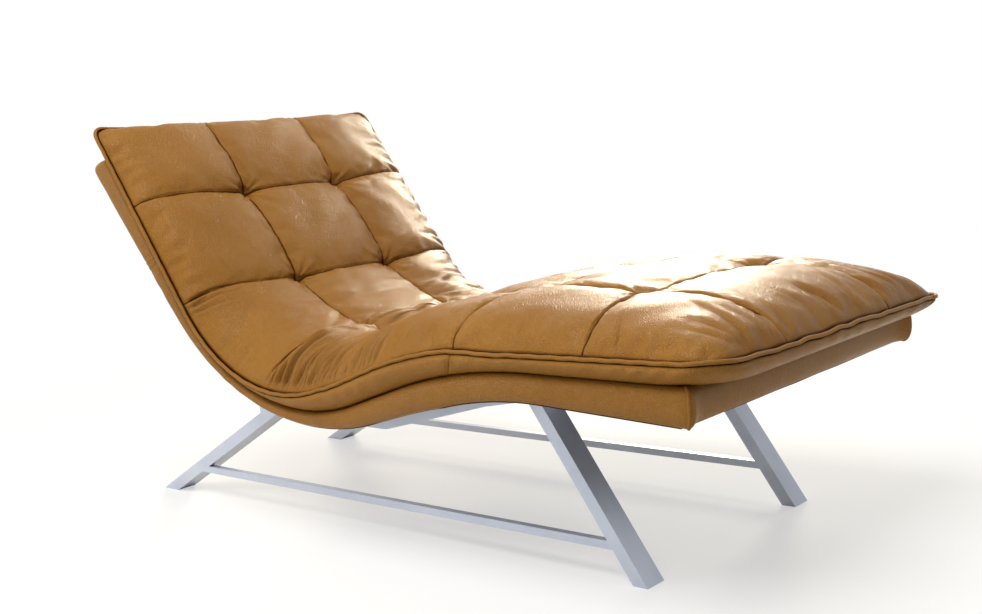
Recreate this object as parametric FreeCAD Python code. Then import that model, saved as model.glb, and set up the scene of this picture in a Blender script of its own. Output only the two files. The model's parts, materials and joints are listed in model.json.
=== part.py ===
"""Wave lounger: a tufted leather pad on an upholstered wave shell, carried by two steel side frames.

The side view lies in the XZ plane. +X points to the foot end, +Y to the sitter's left and +Z up.
Everything hangs on one wave line, the joint between the shell's top and the pad's underside.
A station is a distance along that line from the shell's head end, and a height is square to it.
"""
import FreeCAD, Part
import math
import os

from FreeCAD import Vector

# Wave line: lowest point, straight runs and tangent arcs, in millimetres and degrees
SEAT_LOW = 270.0
SEAT_RADIUS = 430.0
BACK_ANGLE = 56.0
BACK_RUN = 402.0
THIGH_ANGLE = 18.5
THIGH_RUN = 126.0
KNEE_RADIUS = 983.0
LEG_RUN = 320.0

# Shell: depths under the wave line at the ends of its straight runs and at the seat's lowest point
SHELL_WIDTH = 808.0
HEAD_DEPTH = 70.0
BACK_FOOT_DEPTH = 38.0
SEAT_DEPTH = 31.0
THIGH_START_DEPTH = 45.0
THIGH_END_DEPTH = 54.0
LEG_START_DEPTH = 51.0
FOOT_DEPTH = 66.0
UNDER_KNEE_RADIUS = 760.0
HEAD_END_SLOPE = 17.0

# Shell: upholstery and hidden wooden frame
BAND_THICKNESS = 12.0
BAND_BEVEL = 5.0
END_ROUND = 11.0
BACK_PANEL_HEM = 45.0
UNDER_SKIN = 2.0
LINING = 1.0
SHELL_FOAM = 6.0
STRAP_THICKNESS = 2.0
STRAP_WIDTH = 60.0
STRAP_PITCH = 86.0
MEMBER_WIDTH = 60.0
CROSS_RAIL_LENGTH = 55.0
FRONT_RAIL_LENGTH = 110.0

# Pad: overhang past the shell, border heights, row seams, crowns and column seams
PAD_WIDTH = 830.0
PAD_HEAD_OVERHANG = 78.0
PAD_FOOT_OVERHANG = 61.0
BORDER_BACK = 13.0
BORDER_SEAT = 32.0
BORDER_THIGH = 50.0
BORDER_LEG = 42.0
BORDER_FOOT = 48.0
PIPING_KNEE_RADIUS = 1000.0
PIPING_RADIUS = 4.0
BORDER_THICKNESS = 2.5
UNDERSIDE = 1.5
BAFFLE = 1.0
BAFFLE_DROP = 4.0
ROW_NAMES = ("head", "upper_back", "lower_back", "seat", "calf", "foot")
SEAM_STATIONS = (160.0, 410.0, 708.0, 1285.0, 1528.0)
SEAM_HEIGHTS = (60.0, 77.0, 108.0, 112.0, 106.0)
ROW_CROWNS = (26.0, 26.0, 26.0, 30.0, 28.0, 26.0)
COLUMN_SEAM_BACK = 137.0
COLUMN_SEAM_LEG = 189.0
SECTION_STEP = 45.0

# Steel side frame: legs, low rail and bent top rail
FRAME_WIDTH = 570.0
LEG_WIDTH = 50.0
LEG_DEPTH = 25.0
TUBE_WALL = 2.0
REAR_LEG_ANGLE = 29.0
FRONT_LEG_ANGLE = 56.0
REAR_FOOT_BEHIND = 621.0
FRONT_FOOT_AHEAD = 716.0
LOW_RAIL = 15.0
LOW_RAIL_CLEAR = 58.0
TOP_RAIL_DEPTH = 20.0
TOP_RAIL_BEND = 60.0
TOP_RAIL_TAIL = 2.0
TOP_RAIL_FRONT = 150.0
FOOT_PLUG = 15.0
RAIL_CAP = 10.0

# Bolts from the top rails into threaded inserts in the cross rails
BOLT_RADIUS = 4.0
BOLT_HEAD_FLATS = 13.0
BOLT_HEAD_HEIGHT = 5.5
BOLT_REACH = 20.0
INSERT_RADIUS = 6.0
INSERT_LENGTH = 16.0

# Clearances
FIT = 0.1
SOFT_GAP = 0.3
BOLT_HOLE_GAP = 0.5
CUT_OVERRUN = 30.0
REACH = 3000.0

# Places worked out from the sizes above
SHELL_HALF = SHELL_WIDTH / 2
INNER_HALF = SHELL_HALF - BAND_THICKNESS
BAY_HALF = INNER_HALF - MEMBER_WIDTH
CORE_TOP = -(LINING + SHELL_FOAM + STRAP_THICKNESS)
PIPING_Y = PAD_WIDTH / 2 - PIPING_RADIUS
BORDER_Y = PIPING_Y - BORDER_THICKNESS
ROW_Y = PIPING_Y - PIPING_RADIUS - SOFT_GAP
ROW_FLOOR = UNDERSIDE + SOFT_GAP
FRAME_OUTER = FRAME_WIDTH / 2
FRAME_INNER = FRAME_OUTER - LEG_WIDTH
FRAME_MIDDLE = (FRAME_OUTER + FRAME_INNER) / 2
UP = Vector(0, 0, 1)
ALONG = Vector(1, 0, 0)
ACROSS = Vector(0, 1, 0)

# How far along the end rows their sections lie, and how far across a panel its outline points lie
END_ROW_SHARES = (0.0, 0.04, 0.15, 0.35, 0.6, 0.8, 1.0)
SIDE_SHARES = (0.0, 0.04, 0.15, 0.4, 0.7, 1.0)
MIDDLE_SHARES = (0.0, 0.2, 0.5, 0.8, 1.0)

# How far along the knee bend the top rail is bent
KNEE_SHARES = (0.0, 0.5, 1.0)


def flat(x, z):
    """Returns a point or direction of the side view."""
    return Vector(x, 0, z)


def heading(degrees):
    """Returns the unit direction at an angle above +X in the side view."""
    angle = math.radians(degrees)
    return flat(math.cos(angle), math.sin(angle))


def left_of(direction):
    """Returns the side-view normal a quarter turn from +X towards +Z."""
    return flat(-direction.z, direction.x)


def crossing(point, direction, other_point, other_direction):
    """Returns where two side-view lines cross."""
    normal = left_of(other_direction)
    travel = (other_point - point).dot(normal) / direction.dot(normal)
    return point + direction * travel


class Run:
    """A straight stretch of a wave."""

    def __init__(self, start, end):
        self.start = start
        self.length = (end - start).Length
        self.direction = (end - start) / self.length

    def at(self, distance):
        """Returns the point and direction at a distance along the stretch."""
        return self.start + self.direction * distance, self.direction

    def edge(self, begin, end, height):
        """Returns the edge parallel to the stretch between two distances."""
        rise = left_of(self.direction) * height
        return Part.LineSegment(self.at(begin)[0] + rise, self.at(end)[0] + rise).toShape()


class Bend:
    """A tangent arc between two runs of a wave. A positive turn rises to the left."""

    def __init__(self, start, direction, radius, turn):
        self.side = math.copysign(1.0, turn)
        self.radius = radius
        self.direction = direction
        self.centre = start + left_of(direction) * (radius * self.side)
        self.length = radius * abs(turn)

    def at(self, distance):
        """Returns the point and direction at a distance along the arc."""
        angle = self.side * distance / self.radius
        normal = left_of(self.direction)
        direction = self.direction * math.cos(angle) + normal * math.sin(angle)
        return self.centre - left_of(direction) * (self.radius * self.side), direction

    def edge(self, begin, end, height):
        """Returns the concentric arc between two distances, raised by a height."""
        points = []
        for distance in (begin, (begin + end) / 2, end):
            point, direction = self.at(distance)
            points.append(point + left_of(direction) * height)
        return Part.Arc(*points).toShape()


class Wave:
    """A side-view line of straight runs joined by tangent arcs, from head to foot."""

    def __init__(self, corners, radii):
        self.corners = corners
        self.radii = radii
        self.spans = self.make_spans()
        self.runs = self.spans[::2]
        self.bends = self.spans[1::2]
        self.length = sum(span.length for span in self.spans)

    def make_spans(self):
        """Returns the runs and bends in order."""
        pairs = zip(self.corners, self.corners[1:])
        directions = [(end - start).normalize() for start, end in pairs]
        turns = []
        for before, after in zip(directions, directions[1:]):
            turns.append(math.atan2(after.dot(left_of(before)), after.dot(before)))
        tangents = [radius * math.tan(abs(turn) / 2) for radius, turn in zip(self.radii, turns)]
        cuts = [0.0] + tangents + [0.0]
        spans = []
        for index, direction in enumerate(directions):
            start = self.corners[index] + direction * cuts[index]
            end = self.corners[index + 1] - direction * cuts[index + 1]
            spans.append(Run(start, end))
            if index < len(turns):
                spans.append(Bend(end, direction, self.radii[index], turns[index]))
        return spans

    def place(self, station, height=0.0):
        """Returns the point at a station and height, with the wave's direction there."""
        for span in self.spans[:-1]:
            if station <= span.length:
                break
            station -= span.length
        else:
            span = self.spans[-1]
        point, direction = span.at(station)
        return point + left_of(direction) * height, direction

    def path(self, height=0.0, begin=0.0, end=None):
        """Returns the edges parallel to the wave between two stations, which may lie past its ends."""
        last = self.length if end is None else end
        edges = []
        reached = 0.0
        for index, span in enumerate(self.spans):
            low = begin if index == 0 else max(begin, reached)
            high = last if index == len(self.spans) - 1 else min(last, reached + span.length)
            if high - low > FIT:
                edges.append(span.edge(low - reached, high - reached, height))
            reached += span.length
        return edges

    def raised(self, height):
        """Returns the parallel wave at a height."""
        starts = [run.start + left_of(run.direction) * height for run in self.runs]
        corners = [self.corners[0] + left_of(self.runs[0].direction) * height]
        for index in range(len(starts) - 1):
            line = (starts[index], self.runs[index].direction)
            next_line = (starts[index + 1], self.runs[index + 1].direction)
            corners.append(crossing(*line, *next_line))
        corners.append(self.corners[-1] + left_of(self.runs[-1].direction) * height)
        return Wave(corners, [bend.radius - bend.side * height for bend in self.bends])

    def ended(self, head_cut, foot_cut):
        """Returns the wave with its end runs cut at two side-view lines, each a point and a direction."""
        corners = list(self.corners)
        corners[0] = crossing(corners[0], self.runs[0].direction, *head_cut)
        corners[-1] = crossing(corners[-1], self.runs[-1].direction, *foot_cut)
        return Wave(corners, self.radii)

    def lowest(self):
        """Returns the lowest point of the first bend."""
        return self.bends[0].centre - UP * self.bends[0].radius


def bend_radius(before, after, low):
    """Returns the radius of the arc tangent to two lines whose lowest point lies at a height.

    before and after are points: before the corner, the corner itself, and after it.
    """
    start, corner = before
    into = (corner - start).normalize()
    out = (after - corner).normalize()
    inward = (out - into).normalize()
    half_angle_sine = (out + into).Length / 2
    return (low - corner.z) / (inward.z / half_angle_sine - 1.0)


def guided_wave(wave, heights, seat_low, knee_radius):
    """Returns a wave at given heights over the ends of another wave's runs.

    heights has two values for each run, seat_low is the first bend's lowest level and knee_radius the
    second bend's radius.
    """
    lines = []
    for index, run in enumerate(wave.runs):
        normal = left_of(run.direction)
        start = run.start + normal * heights[2 * index]
        end = run.at(run.length)[0] + normal * heights[2 * index + 1]
        lines.append((start, end - start))
    corners = [lines[0][0]]
    for line, next_line in zip(lines, lines[1:]):
        corners.append(crossing(*line, *next_line))
    corners.append(lines[-1][0] + lines[-1][1])
    seat_radius = bend_radius(corners[:2], corners[2], seat_low)
    return Wave(corners, [seat_radius, knee_radius])


def wave_line():
    """Returns the wave line, with its lowest point over the origin."""
    back = heading(-BACK_ANGLE)
    thigh = heading(THIGH_ANGLE)
    centre = flat(0, SEAT_LOW + SEAT_RADIUS)
    back_foot = centre - left_of(back) * SEAT_RADIUS
    thigh_start = centre - left_of(thigh) * SEAT_RADIUS
    seat_corner = crossing(back_foot, back, thigh_start, thigh)
    knee_tangent = KNEE_RADIUS * math.tan(math.radians(THIGH_ANGLE) / 2)
    knee_corner = thigh_start + thigh * (THIGH_RUN + knee_tangent)
    foot = knee_corner + ALONG * (knee_tangent + LEG_RUN)
    return Wave([back_foot - back * BACK_RUN, seat_corner, knee_corner, foot], [SEAT_RADIUS, KNEE_RADIUS])


def square_cut(station):
    """Returns the side-view line square to the wave line at a station."""
    point, direction = WAVE.place(station)
    return point, left_of(direction)


WAVE = wave_line()
UNDER_DEPTHS = (HEAD_DEPTH, BACK_FOOT_DEPTH, THIGH_START_DEPTH, THIGH_END_DEPTH, LEG_START_DEPTH, FOOT_DEPTH)
UNDER = guided_wave(WAVE, [-depth for depth in UNDER_DEPTHS], SEAT_LOW - SEAT_DEPTH, UNDER_KNEE_RADIUS)
BORDER_HEIGHTS = (BORDER_BACK, BORDER_BACK, BORDER_THIGH, BORDER_THIGH, BORDER_LEG, BORDER_FOOT)
PIPING = guided_wave(WAVE, BORDER_HEIGHTS, SEAT_LOW + BORDER_SEAT, PIPING_KNEE_RADIUS)
PIPING_WIRE = Part.Wire(PIPING.path(0.0, -REACH, PIPING.length + REACH))

HEAD_CUT = (WAVE.place(0.0)[0], heading(HEAD_END_SLOPE))
FOOT_CUT = (WAVE.place(WAVE.length)[0], UP)
CORE_HEAD_CUT = (HEAD_CUT[0] - left_of(HEAD_CUT[1]) * BAND_THICKNESS, HEAD_CUT[1])
CORE_FOOT_CUT = (FOOT_CUT[0] - ALONG * BAND_THICKNESS, FOOT_CUT[1])

PAD_HEAD = -PAD_HEAD_OVERHANG
PAD_FOOT = WAVE.length + PAD_FOOT_OVERHANG
CORD_INSET = PIPING_RADIUS
ROW_INSET = 2 * PIPING_RADIUS + SOFT_GAP
ROW_ENDS = (PAD_HEAD + ROW_INSET,) + SEAM_STATIONS + (PAD_FOOT - ROW_INSET,)
LAST_ROW = len(ROW_NAMES) - 1


def profile(upper, lower):
    """Returns the face between two side-view edge chains that run the same way."""
    head = Part.LineSegment(upper[0].firstVertex().Point, lower[0].firstVertex().Point)
    foot = Part.LineSegment(upper[-1].lastVertex().Point, lower[-1].lastVertex().Point)
    edges = upper + lower + [head.toShape(), foot.toShape()]
    return Part.Face(Part.Wire(Part.__sortEdges__(edges)))


def polygon(points):
    """Returns the face of a closed polygon."""
    return Part.Face(Part.makePolygon(points + points[:1]))


def across(face, y_from, y_to):
    """Returns a side-view face pulled across the width."""
    solid = face.extrude(ACROSS * (y_to - y_from))
    solid.translate(ACROSS * y_from)
    return solid


def between(solid, y_from, y_to):
    """Returns the part of a solid between two places across the width."""
    box = Part.makeBox(2 * REACH, y_to - y_from, 2 * REACH, Vector(-REACH, y_from, -REACH))
    return solid.common(box)


def strip(low, high, begin, end, y_from, y_to):
    """Returns a layer along the wave line between two heights and two stations."""
    return across(profile(WAVE.path(high, begin, end), WAVE.path(low, begin, end)), y_from, y_to)


def mirrored(shape):
    """Returns the piece on the other side of the lounger."""
    return shape.mirror(Vector(0, 0, 0), ACROSS)


def with_mirrors(shapes):
    """Returns left pieces together with their right-hand copies."""
    return shapes + [mirrored(shape) for shape in shapes]


def edges_in_plane(solid, y):
    """Returns the edges of a solid that lie in one plane across the width."""
    found = []
    for edge in solid.Edges:
        if all(abs(vertex.Point.y - y) < FIT for vertex in edge.Vertexes):
            found.append(edge)
    return found


def edges_across(solid, places):
    """Returns the straight edges across the width that pass through given side-view places."""
    found = []
    for edge in solid.Edges:
        start, end = edge.firstVertex().Point, edge.lastVertex().Point
        spot = flat(start.x, start.z)
        if abs(start.y - end.y) > FIT and any((spot - place).Length < FIT for place in places):
            found.append(edge)
    return found


def shell_waves(top, bottom, head_cut, foot_cut):
    """Returns the shell's upper and lower waves at heights over the wave line and the underside."""
    return WAVE.raised(top).ended(head_cut, foot_cut), UNDER.raised(bottom).ended(head_cut, foot_cut)


def shell_profile(top, bottom, head_cut, foot_cut):
    """Returns the shell's side view between its upper and lower waves."""
    upper, lower = shell_waves(top, bottom, head_cut, foot_cut)
    return profile(upper.path(), lower.path())


def shell_block():
    """Returns the shell's whole outer form, with its two ends rounded over."""
    upper, lower = shell_waves(0.0, 0.0, HEAD_CUT, FOOT_CUT)
    block = across(profile(upper.path(), lower.path()), -SHELL_HALF, SHELL_HALF)
    corners = [wave.corners[index] for wave in (upper, lower) for index in (0, -1)]
    return block.makeFillet(END_ROUND, edges_across(block, corners))


def side_band(block):
    """Returns the left leather side band, with its outer edges bevelled."""
    band = between(block, INNER_HALF, SHELL_HALF)
    return band.makeChamfer(BAND_BEVEL, edges_in_plane(band, SHELL_HALF))


def end_bands(block):
    """Returns the head and foot bands, the leather ends between the side bands."""
    inner = shell_profile(CUT_OVERRUN, -CUT_OVERRUN, CORE_HEAD_CUT, CORE_FOOT_CUT)
    ends = between(block, -INNER_HALF, INNER_HALF).cut(across(inner, -SHELL_HALF, SHELL_HALF))
    ordered = sorted(ends.Solids, key=lambda solid: solid.CenterOfMass.x)
    return ordered[0], ordered[-1]


def core_layer(low, high):
    """Returns a layer along the wave line between the end bands and the side bands."""
    upper = WAVE.raised(high).ended(CORE_HEAD_CUT, CORE_FOOT_CUT)
    lower = WAVE.raised(low).ended(CORE_HEAD_CUT, CORE_FOOT_CUT)
    return across(profile(upper.path(), lower.path()), -INNER_HALF, INNER_HALF)


def under_skins():
    """Returns the leather back panel and the dust cover, which meet just behind the seat's lowest point."""
    upper = UNDER.raised(UNDER_SKIN).ended(CORE_HEAD_CUT, CORE_FOOT_CUT)
    lower = UNDER.ended(CORE_HEAD_CUT, CORE_FOOT_CUT)
    skin = across(profile(upper.path(), lower.path()), -INNER_HALF, INNER_HALF)
    hem = Vector(UNDER.lowest().x - BACK_PANEL_HEM, -SHELL_HALF, 0)
    front = Part.makeBox(REACH, SHELL_WIDTH, REACH, hem)
    return skin.cut(front), skin.common(front)


def core(y_from, y_to):
    """Returns the wooden depth of the shell over part of its width."""
    return across(shell_profile(CORE_TOP, UNDER_SKIN, CORE_HEAD_CUT, CORE_FOOT_CUT), y_from, y_to)


def slice_box(station, length):
    """Returns a box square to the wave line, centred on a station, to cut a slice of the shell with."""
    point, direction = WAVE.place(station)
    half = direction * (length / 2)
    rise = left_of(direction) * SHELL_HALF
    corners = [point - half - rise, point + half - rise, point + half + rise, point - half + rise]
    return across(polygon(corners), -SHELL_HALF, SHELL_HALF)


def cross_rails(cutters):
    """Returns the cross rails by name, each a slice of the shell's wooden depth with its bolt holes."""
    depth = core(-BAY_HALF, BAY_HALF)
    back_foot = WAVE.runs[0].length
    seat_shift = math.asin((UNDER.lowest().x - WAVE.lowest().x) / SEAT_RADIUS)
    front_bolt = bolt_places()[-1][0]
    stations = {
        "head_rail": CROSS_RAIL_LENGTH,
        "upper_back_rail": back_foot / 2,
        "lower_back_rail": back_foot,
        "seat_rail": back_foot + SEAT_RADIUS * (math.radians(BACK_ANGLE) + seat_shift),
        "front_rail": WAVE.length - (FOOT_CUT[0].x - front_bolt.x),
        "foot_rail": WAVE.length - CROSS_RAIL_LENGTH,
    }
    rails = {}
    for name, station in stations.items():
        length = FRONT_RAIL_LENGTH if name == "front_rail" else CROSS_RAIL_LENGTH
        rails[name] = depth.common(slice_box(station, length)).cut(cutters)
    return rails


def straps():
    """Returns the elastic webbing straps, pulled across the side members."""
    count = int((WAVE.length - 2 * STRAP_WIDTH) // STRAP_PITCH)
    start = (WAVE.length - (count - 1) * STRAP_PITCH - STRAP_WIDTH) / 2
    made = []
    for index in range(count):
        begin = start + index * STRAP_PITCH
        ends = (begin, begin + STRAP_WIDTH)
        made.append(strip(CORE_TOP, CORE_TOP + STRAP_THICKNESS, *ends, -INNER_HALF, INNER_HALF))
    return made


def blend(values, positions, position):
    """Returns the value at a position on straight lines between given positions."""
    index = 0
    while index < len(positions) - 2 and position > positions[index + 1]:
        index += 1
    share = (position - positions[index]) / (positions[index + 1] - positions[index])
    return values[index] + (values[index + 1] - values[index]) * min(max(share, 0.0), 1.0)


def arch(share):
    """Returns a pillow's rise, from 0 at its seams to 1 in the middle."""
    return 1.0 - (2.0 * share - 1.0) ** 2


def shoulder(share):
    """Returns a quarter-round rise, from 0 at the piping to 1 at the next seam."""
    return math.sqrt(1.0 - (1.0 - share) ** 2)


def piping_height(station):
    """Returns the height of the piping over the wave line at a station."""
    point, direction = WAVE.place(station)
    ray = Part.makeLine(point, point + left_of(direction) * SEAT_RADIUS)
    hit = ray.distToShape(PIPING_WIRE)[1][0][0]
    return (hit - point).Length


def column_seam(station):
    """Returns the distance of the column seams from the middle, wider on the legs than on the back."""
    return blend((COLUMN_SEAM_BACK, COLUMN_SEAM_LEG), SEAM_STATIONS[2:4], station)


def seam_height(row, share, station, rim):
    """Returns the height of the column seams in a row. They roll down to the rim at the pad's ends."""
    if row == 0:
        return rim + (SEAM_HEIGHTS[0] - rim) * shoulder(share)
    if row == LAST_ROW:
        return rim + (SEAM_HEIGHTS[-1] - rim) * shoulder(1.0 - share)
    return blend(SEAM_HEIGHTS, SEAM_STATIONS, station)


def row_outline(row, share, station):
    """Returns the crowned top of a row at a station, as one list of places and heights for each panel."""
    seam_y = column_seam(station)
    rim = piping_height(station)
    seam = seam_height(row, share, station, rim)
    crown = ROW_CROWNS[row] * arch(share)
    side = []
    for part in SIDE_SHARES:
        height = rim + (seam - rim) * shoulder(part) + crown * arch(part)
        side.append((ROW_Y + (seam_y - ROW_Y) * part, height))
    middle = []
    for part in MIDDLE_SHARES:
        middle.append((seam_y * (1.0 - 2.0 * part), seam + crown * arch(part)))
    other = [(-y, height) for y, height in reversed(side)]
    return [side, middle, other]


def row_shares(row):
    """Returns how far along a row its sections lie, closer together where the pad's ends roll down."""
    if row == 0:
        return END_ROW_SHARES
    if row == LAST_ROW:
        return tuple(1.0 - share for share in reversed(END_ROW_SHARES))
    count = math.ceil((ROW_ENDS[row + 1] - ROW_ENDS[row]) / SECTION_STEP)
    return tuple(index / count for index in range(count + 1))


def row_ring(row, share, station):
    """Returns the corners of a row's closed section in the plane square to the wave line."""
    side, middle, other = row_outline(row, share, station)
    floor = [(-ROW_Y, -CUT_OVERRUN), (ROW_Y, -CUT_OVERRUN)]
    places = side + middle[1:] + other[1:] + floor
    return [WAVE.place(station, height)[0] + ACROSS * y for y, height in places]


def quilted_solid(rings):
    """Returns the solid skinned with flat facets over rings that have the same number of corners."""
    faces = [polygon(rings[0]), polygon(rings[-1])]
    for ring, next_ring in zip(rings, rings[1:]):
        for index, corner in enumerate(ring):
            diagonal = next_ring[index - 1]
            faces.append(polygon([ring[index - 1], corner, diagonal]))
            faces.append(polygon([corner, next_ring[index], diagonal]))
    return Part.Solid(Part.Shell(faces))


def pad_row(row):
    """Returns one quilted row of the pad between its two seams, with its floor on the underside cloth."""
    begin = ROW_ENDS[row] + BAFFLE
    end = ROW_ENDS[row + 1] - BAFFLE
    rings = [row_ring(row, share, begin + (end - begin) * share) for share in row_shares(row)]
    below = strip(-2 * CUT_OVERRUN, ROW_FLOOR, PAD_HEAD, PAD_FOOT, -SHELL_WIDTH, SHELL_WIDTH)
    return quilted_solid(rings).cut(below)


def row_baffles():
    """Returns the cloth walls that stand between the rows and hold the row seams down."""
    made = []
    for station, seam in zip(SEAM_STATIONS, SEAM_HEIGHTS):
        rim = piping_height(station) - BAFFLE_DROP
        left = [(ROW_Y, ROW_FLOOR), (ROW_Y, rim), (column_seam(station), seam - BAFFLE_DROP)]
        outline = left + [(-y, height) for y, height in reversed(left)]
        corners = [WAVE.place(station, height)[0] + ACROSS * y for y, height in outline]
        direction = WAVE.place(station)[1]
        wall = polygon(corners).extrude(direction * BAFFLE)
        wall.translate(direction * (-BAFFLE / 2))
        made.append(wall)
    return made


def pad_borders():
    """Returns the border strips by name, standing on the wave line under the piping."""
    begin = PAD_HEAD + CORD_INSET
    end = PAD_FOOT - CORD_INSET
    drop = PIPING_RADIUS + SOFT_GAP
    upper = PIPING.raised(-drop).ended(square_cut(begin), square_cut(end))
    left = across(profile(upper.path(), WAVE.path(0.0, begin, end)), BORDER_Y, PIPING_Y)
    head_height = piping_height(begin) - drop
    foot_height = piping_height(end) - drop
    return {
        "pad_border_left": left,
        "pad_border_right": mirrored(left),
        "pad_border_head": strip(0.0, head_height, begin, begin + BORDER_THICKNESS, -BORDER_Y, BORDER_Y),
        "pad_border_foot": strip(0.0, foot_height, end - BORDER_THICKNESS, end, -BORDER_Y, BORDER_Y),
    }


def pad_underside():
    """Returns the cloth that closes the pad between its borders."""
    inset = CORD_INSET + BORDER_THICKNESS
    return strip(0.0, UNDERSIDE, PAD_HEAD + inset, PAD_FOOT - inset, -BORDER_Y, BORDER_Y)


def piping_cords():
    """Returns the piping as four eight-sided cords: two along the sides and two across the ends."""
    cut = PIPING.ended(square_cut(PAD_HEAD), square_cut(PAD_FOOT))
    route = Part.Wire(cut.path())
    start, direction = cut.place(0.0)
    side = route.makePipeShell([cord_ring(start, direction)], True, False)
    side.translate(ACROSS * PIPING_Y)
    cords = with_mirrors([side])
    half = PIPING_Y - PIPING_RADIUS - SOFT_GAP
    for station in (PAD_HEAD + CORD_INSET, PAD_FOOT - CORD_INSET):
        centre = WAVE.place(station, piping_height(station))[0]
        ring = cord_ring(centre - ACROSS * half, ACROSS)
        cords.append(Part.Face(ring).extrude(ACROSS * (2 * half)))
    return cords


def cord_ring(centre, axis):
    """Returns an eight-sided ring inside the cord's round section."""
    sides = 8
    first = UP if axis.isEqual(ACROSS, FIT) else ACROSS
    second = axis.cross(first)
    points = []
    for index in range(sides + 1):
        angle = 2 * math.pi * index / sides
        points.append(centre + (first * math.cos(angle) + second * math.sin(angle)) * PIPING_RADIUS)
    return Part.makePolygon(points)


def rear_leg_back(level):
    """Returns where the rear leg's back face reaches a level."""
    heel = flat(-REAR_FOOT_BEHIND - LEG_DEPTH / math.sin(math.radians(REAR_LEG_ANGLE)), 0)
    return crossing(heel, heading(REAR_LEG_ANGLE), flat(0, level), ALONG)


def top_rail_wave():
    """Returns the top rail's upper line: level under the seat, then close under the thigh, knee and legs."""
    level = UNDER.lowest().z - SOFT_GAP
    thigh, leg_run = UNDER.runs[1:]
    knee = UNDER.bends[1]
    tail = flat(rear_leg_back(level - TOP_RAIL_DEPTH).x - TOP_RAIL_TAIL, level)
    level_end = crossing(flat(0, level), ALONG, thigh.start, thigh.direction)
    knee_points = [knee.at(knee.length * share)[0] for share in KNEE_SHARES]
    corners = [tail, level_end, *knee_points, leg_run.at(TOP_RAIL_FRONT)[0]]
    return Wave(corners, [TOP_RAIL_BEND] * (len(corners) - 2))


TOP_RAIL = top_rail_wave()


def leg_setup():
    """Returns each leg's toe on the floor, its lean and the line inside the top rail that it runs up to."""
    inside_rail = TOP_RAIL.raised(-TOP_RAIL_DEPTH / 2).runs
    rear = (flat(-REAR_FOOT_BEHIND, 0), heading(REAR_LEG_ANGLE), inside_rail[0])
    front = (flat(FRONT_FOOT_AHEAD, 0), heading(180.0 - FRONT_LEG_ANGLE), inside_rail[-2])
    setup = {}
    for name, (toe, lean, run) in (("rear_leg", rear), ("front_leg", front)):
        setup[name] = (toe, lean, (run.start, run.direction))
    return setup


def leg_profile(toe, lean, top_cut, wall):
    """Returns the side view of a leg, cut level at the floor and along a line at its top.

    toe is the leg's corner on the floor towards +X, and wall insets its two faces.
    """
    inward = left_of(lean) * -math.copysign(1.0, left_of(lean).x)
    floor = (flat(0, 0), ALONG)
    front = crossing(toe + inward * wall, lean, *floor)
    back = crossing(toe + inward * (LEG_DEPTH - wall), lean, *floor)
    return polygon([front, back, crossing(back, lean, *top_cut), crossing(front, lean, *top_cut)])


def top_rail_block():
    """Returns the left top rail's outer form, not yet hollow."""
    return across(profile(TOP_RAIL.path(0.0), TOP_RAIL.path(-TOP_RAIL_DEPTH)), FRAME_INNER, FRAME_OUTER)


def legs():
    """Returns the left legs by name, each cut to the top rail's underside."""
    tubes = {}
    rail = top_rail_block()
    for name, (toe, lean, top_cut) in leg_setup().items():
        outer = across(leg_profile(toe, lean, top_cut, 0.0), FRAME_INNER, FRAME_OUTER)
        hollow = leg_profile(toe, lean, top_cut, TUBE_WALL)
        tube = outer.cut(across(hollow, FRAME_INNER + TUBE_WALL, FRAME_OUTER - TUBE_WALL))
        tubes[name] = tube.cut(rail)
    return tubes


def foot_plugs():
    """Returns the plugs that close the left legs at the floor."""
    inset = TUBE_WALL + FIT
    level = (flat(0, FOOT_PLUG), ALONG)
    plugs = []
    for toe, lean, top_cut in leg_setup().values():
        plugs.append(across(leg_profile(toe, lean, level, inset), FRAME_INNER + inset, FRAME_OUTER - inset))
    return plugs


def low_rail_profile(wall):
    """Returns the low rail's side view, cut to the legs' facing sides, with its top and bottom inset."""
    setup = leg_setup()
    rear_face = setup["rear_leg"][:2]
    front_toe, front_lean = setup["front_leg"][:2]
    front_face = (front_toe - ALONG * (LEG_DEPTH / math.sin(math.radians(FRONT_LEG_ANGLE))), front_lean)
    bottom = (flat(0, LOW_RAIL_CLEAR + wall), ALONG)
    top = (flat(0, LOW_RAIL_CLEAR + LOW_RAIL - wall), ALONG)
    cuts = ((rear_face, bottom), (front_face, bottom), (front_face, top), (rear_face, top))
    return polygon([crossing(*face, *level) for face, level in cuts])


def low_rail():
    """Returns the left low rail, a square tube between the legs, flush with their outer faces."""
    inner = FRAME_OUTER - LOW_RAIL
    outer = across(low_rail_profile(0.0), inner, FRAME_OUTER)
    return outer.cut(across(low_rail_profile(TUBE_WALL), inner + TUBE_WALL, FRAME_OUTER - TUBE_WALL))


def bolt_places():
    """Returns the point on the top rail's upper face and the upward direction of each left bolt."""
    seat = UNDER.lowest().x - TOP_RAIL.corners[0].x
    front = TOP_RAIL.length - TOP_RAIL_FRONT / 2
    places = []
    for station in (seat, front):
        point, direction = TOP_RAIL.place(station)
        places.append((point + ACROSS * FRAME_MIDDLE, left_of(direction)))
    return places


def top_rail():
    """Returns the left top rail, a bent tube with its bolt holes."""
    hollow = profile(TOP_RAIL.path(-TUBE_WALL), TOP_RAIL.path(TUBE_WALL - TOP_RAIL_DEPTH))
    rail = top_rail_block().cut(across(hollow, FRAME_INNER + TUBE_WALL, FRAME_OUTER - TUBE_WALL))
    for point, up in bolt_places():
        base = point - up * (TOP_RAIL_DEPTH + FIT)
        rail = rail.cut(Part.makeCylinder(BOLT_RADIUS + BOLT_HOLE_GAP, TOP_RAIL_DEPTH + 2 * FIT, base, up))
    return rail


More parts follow.
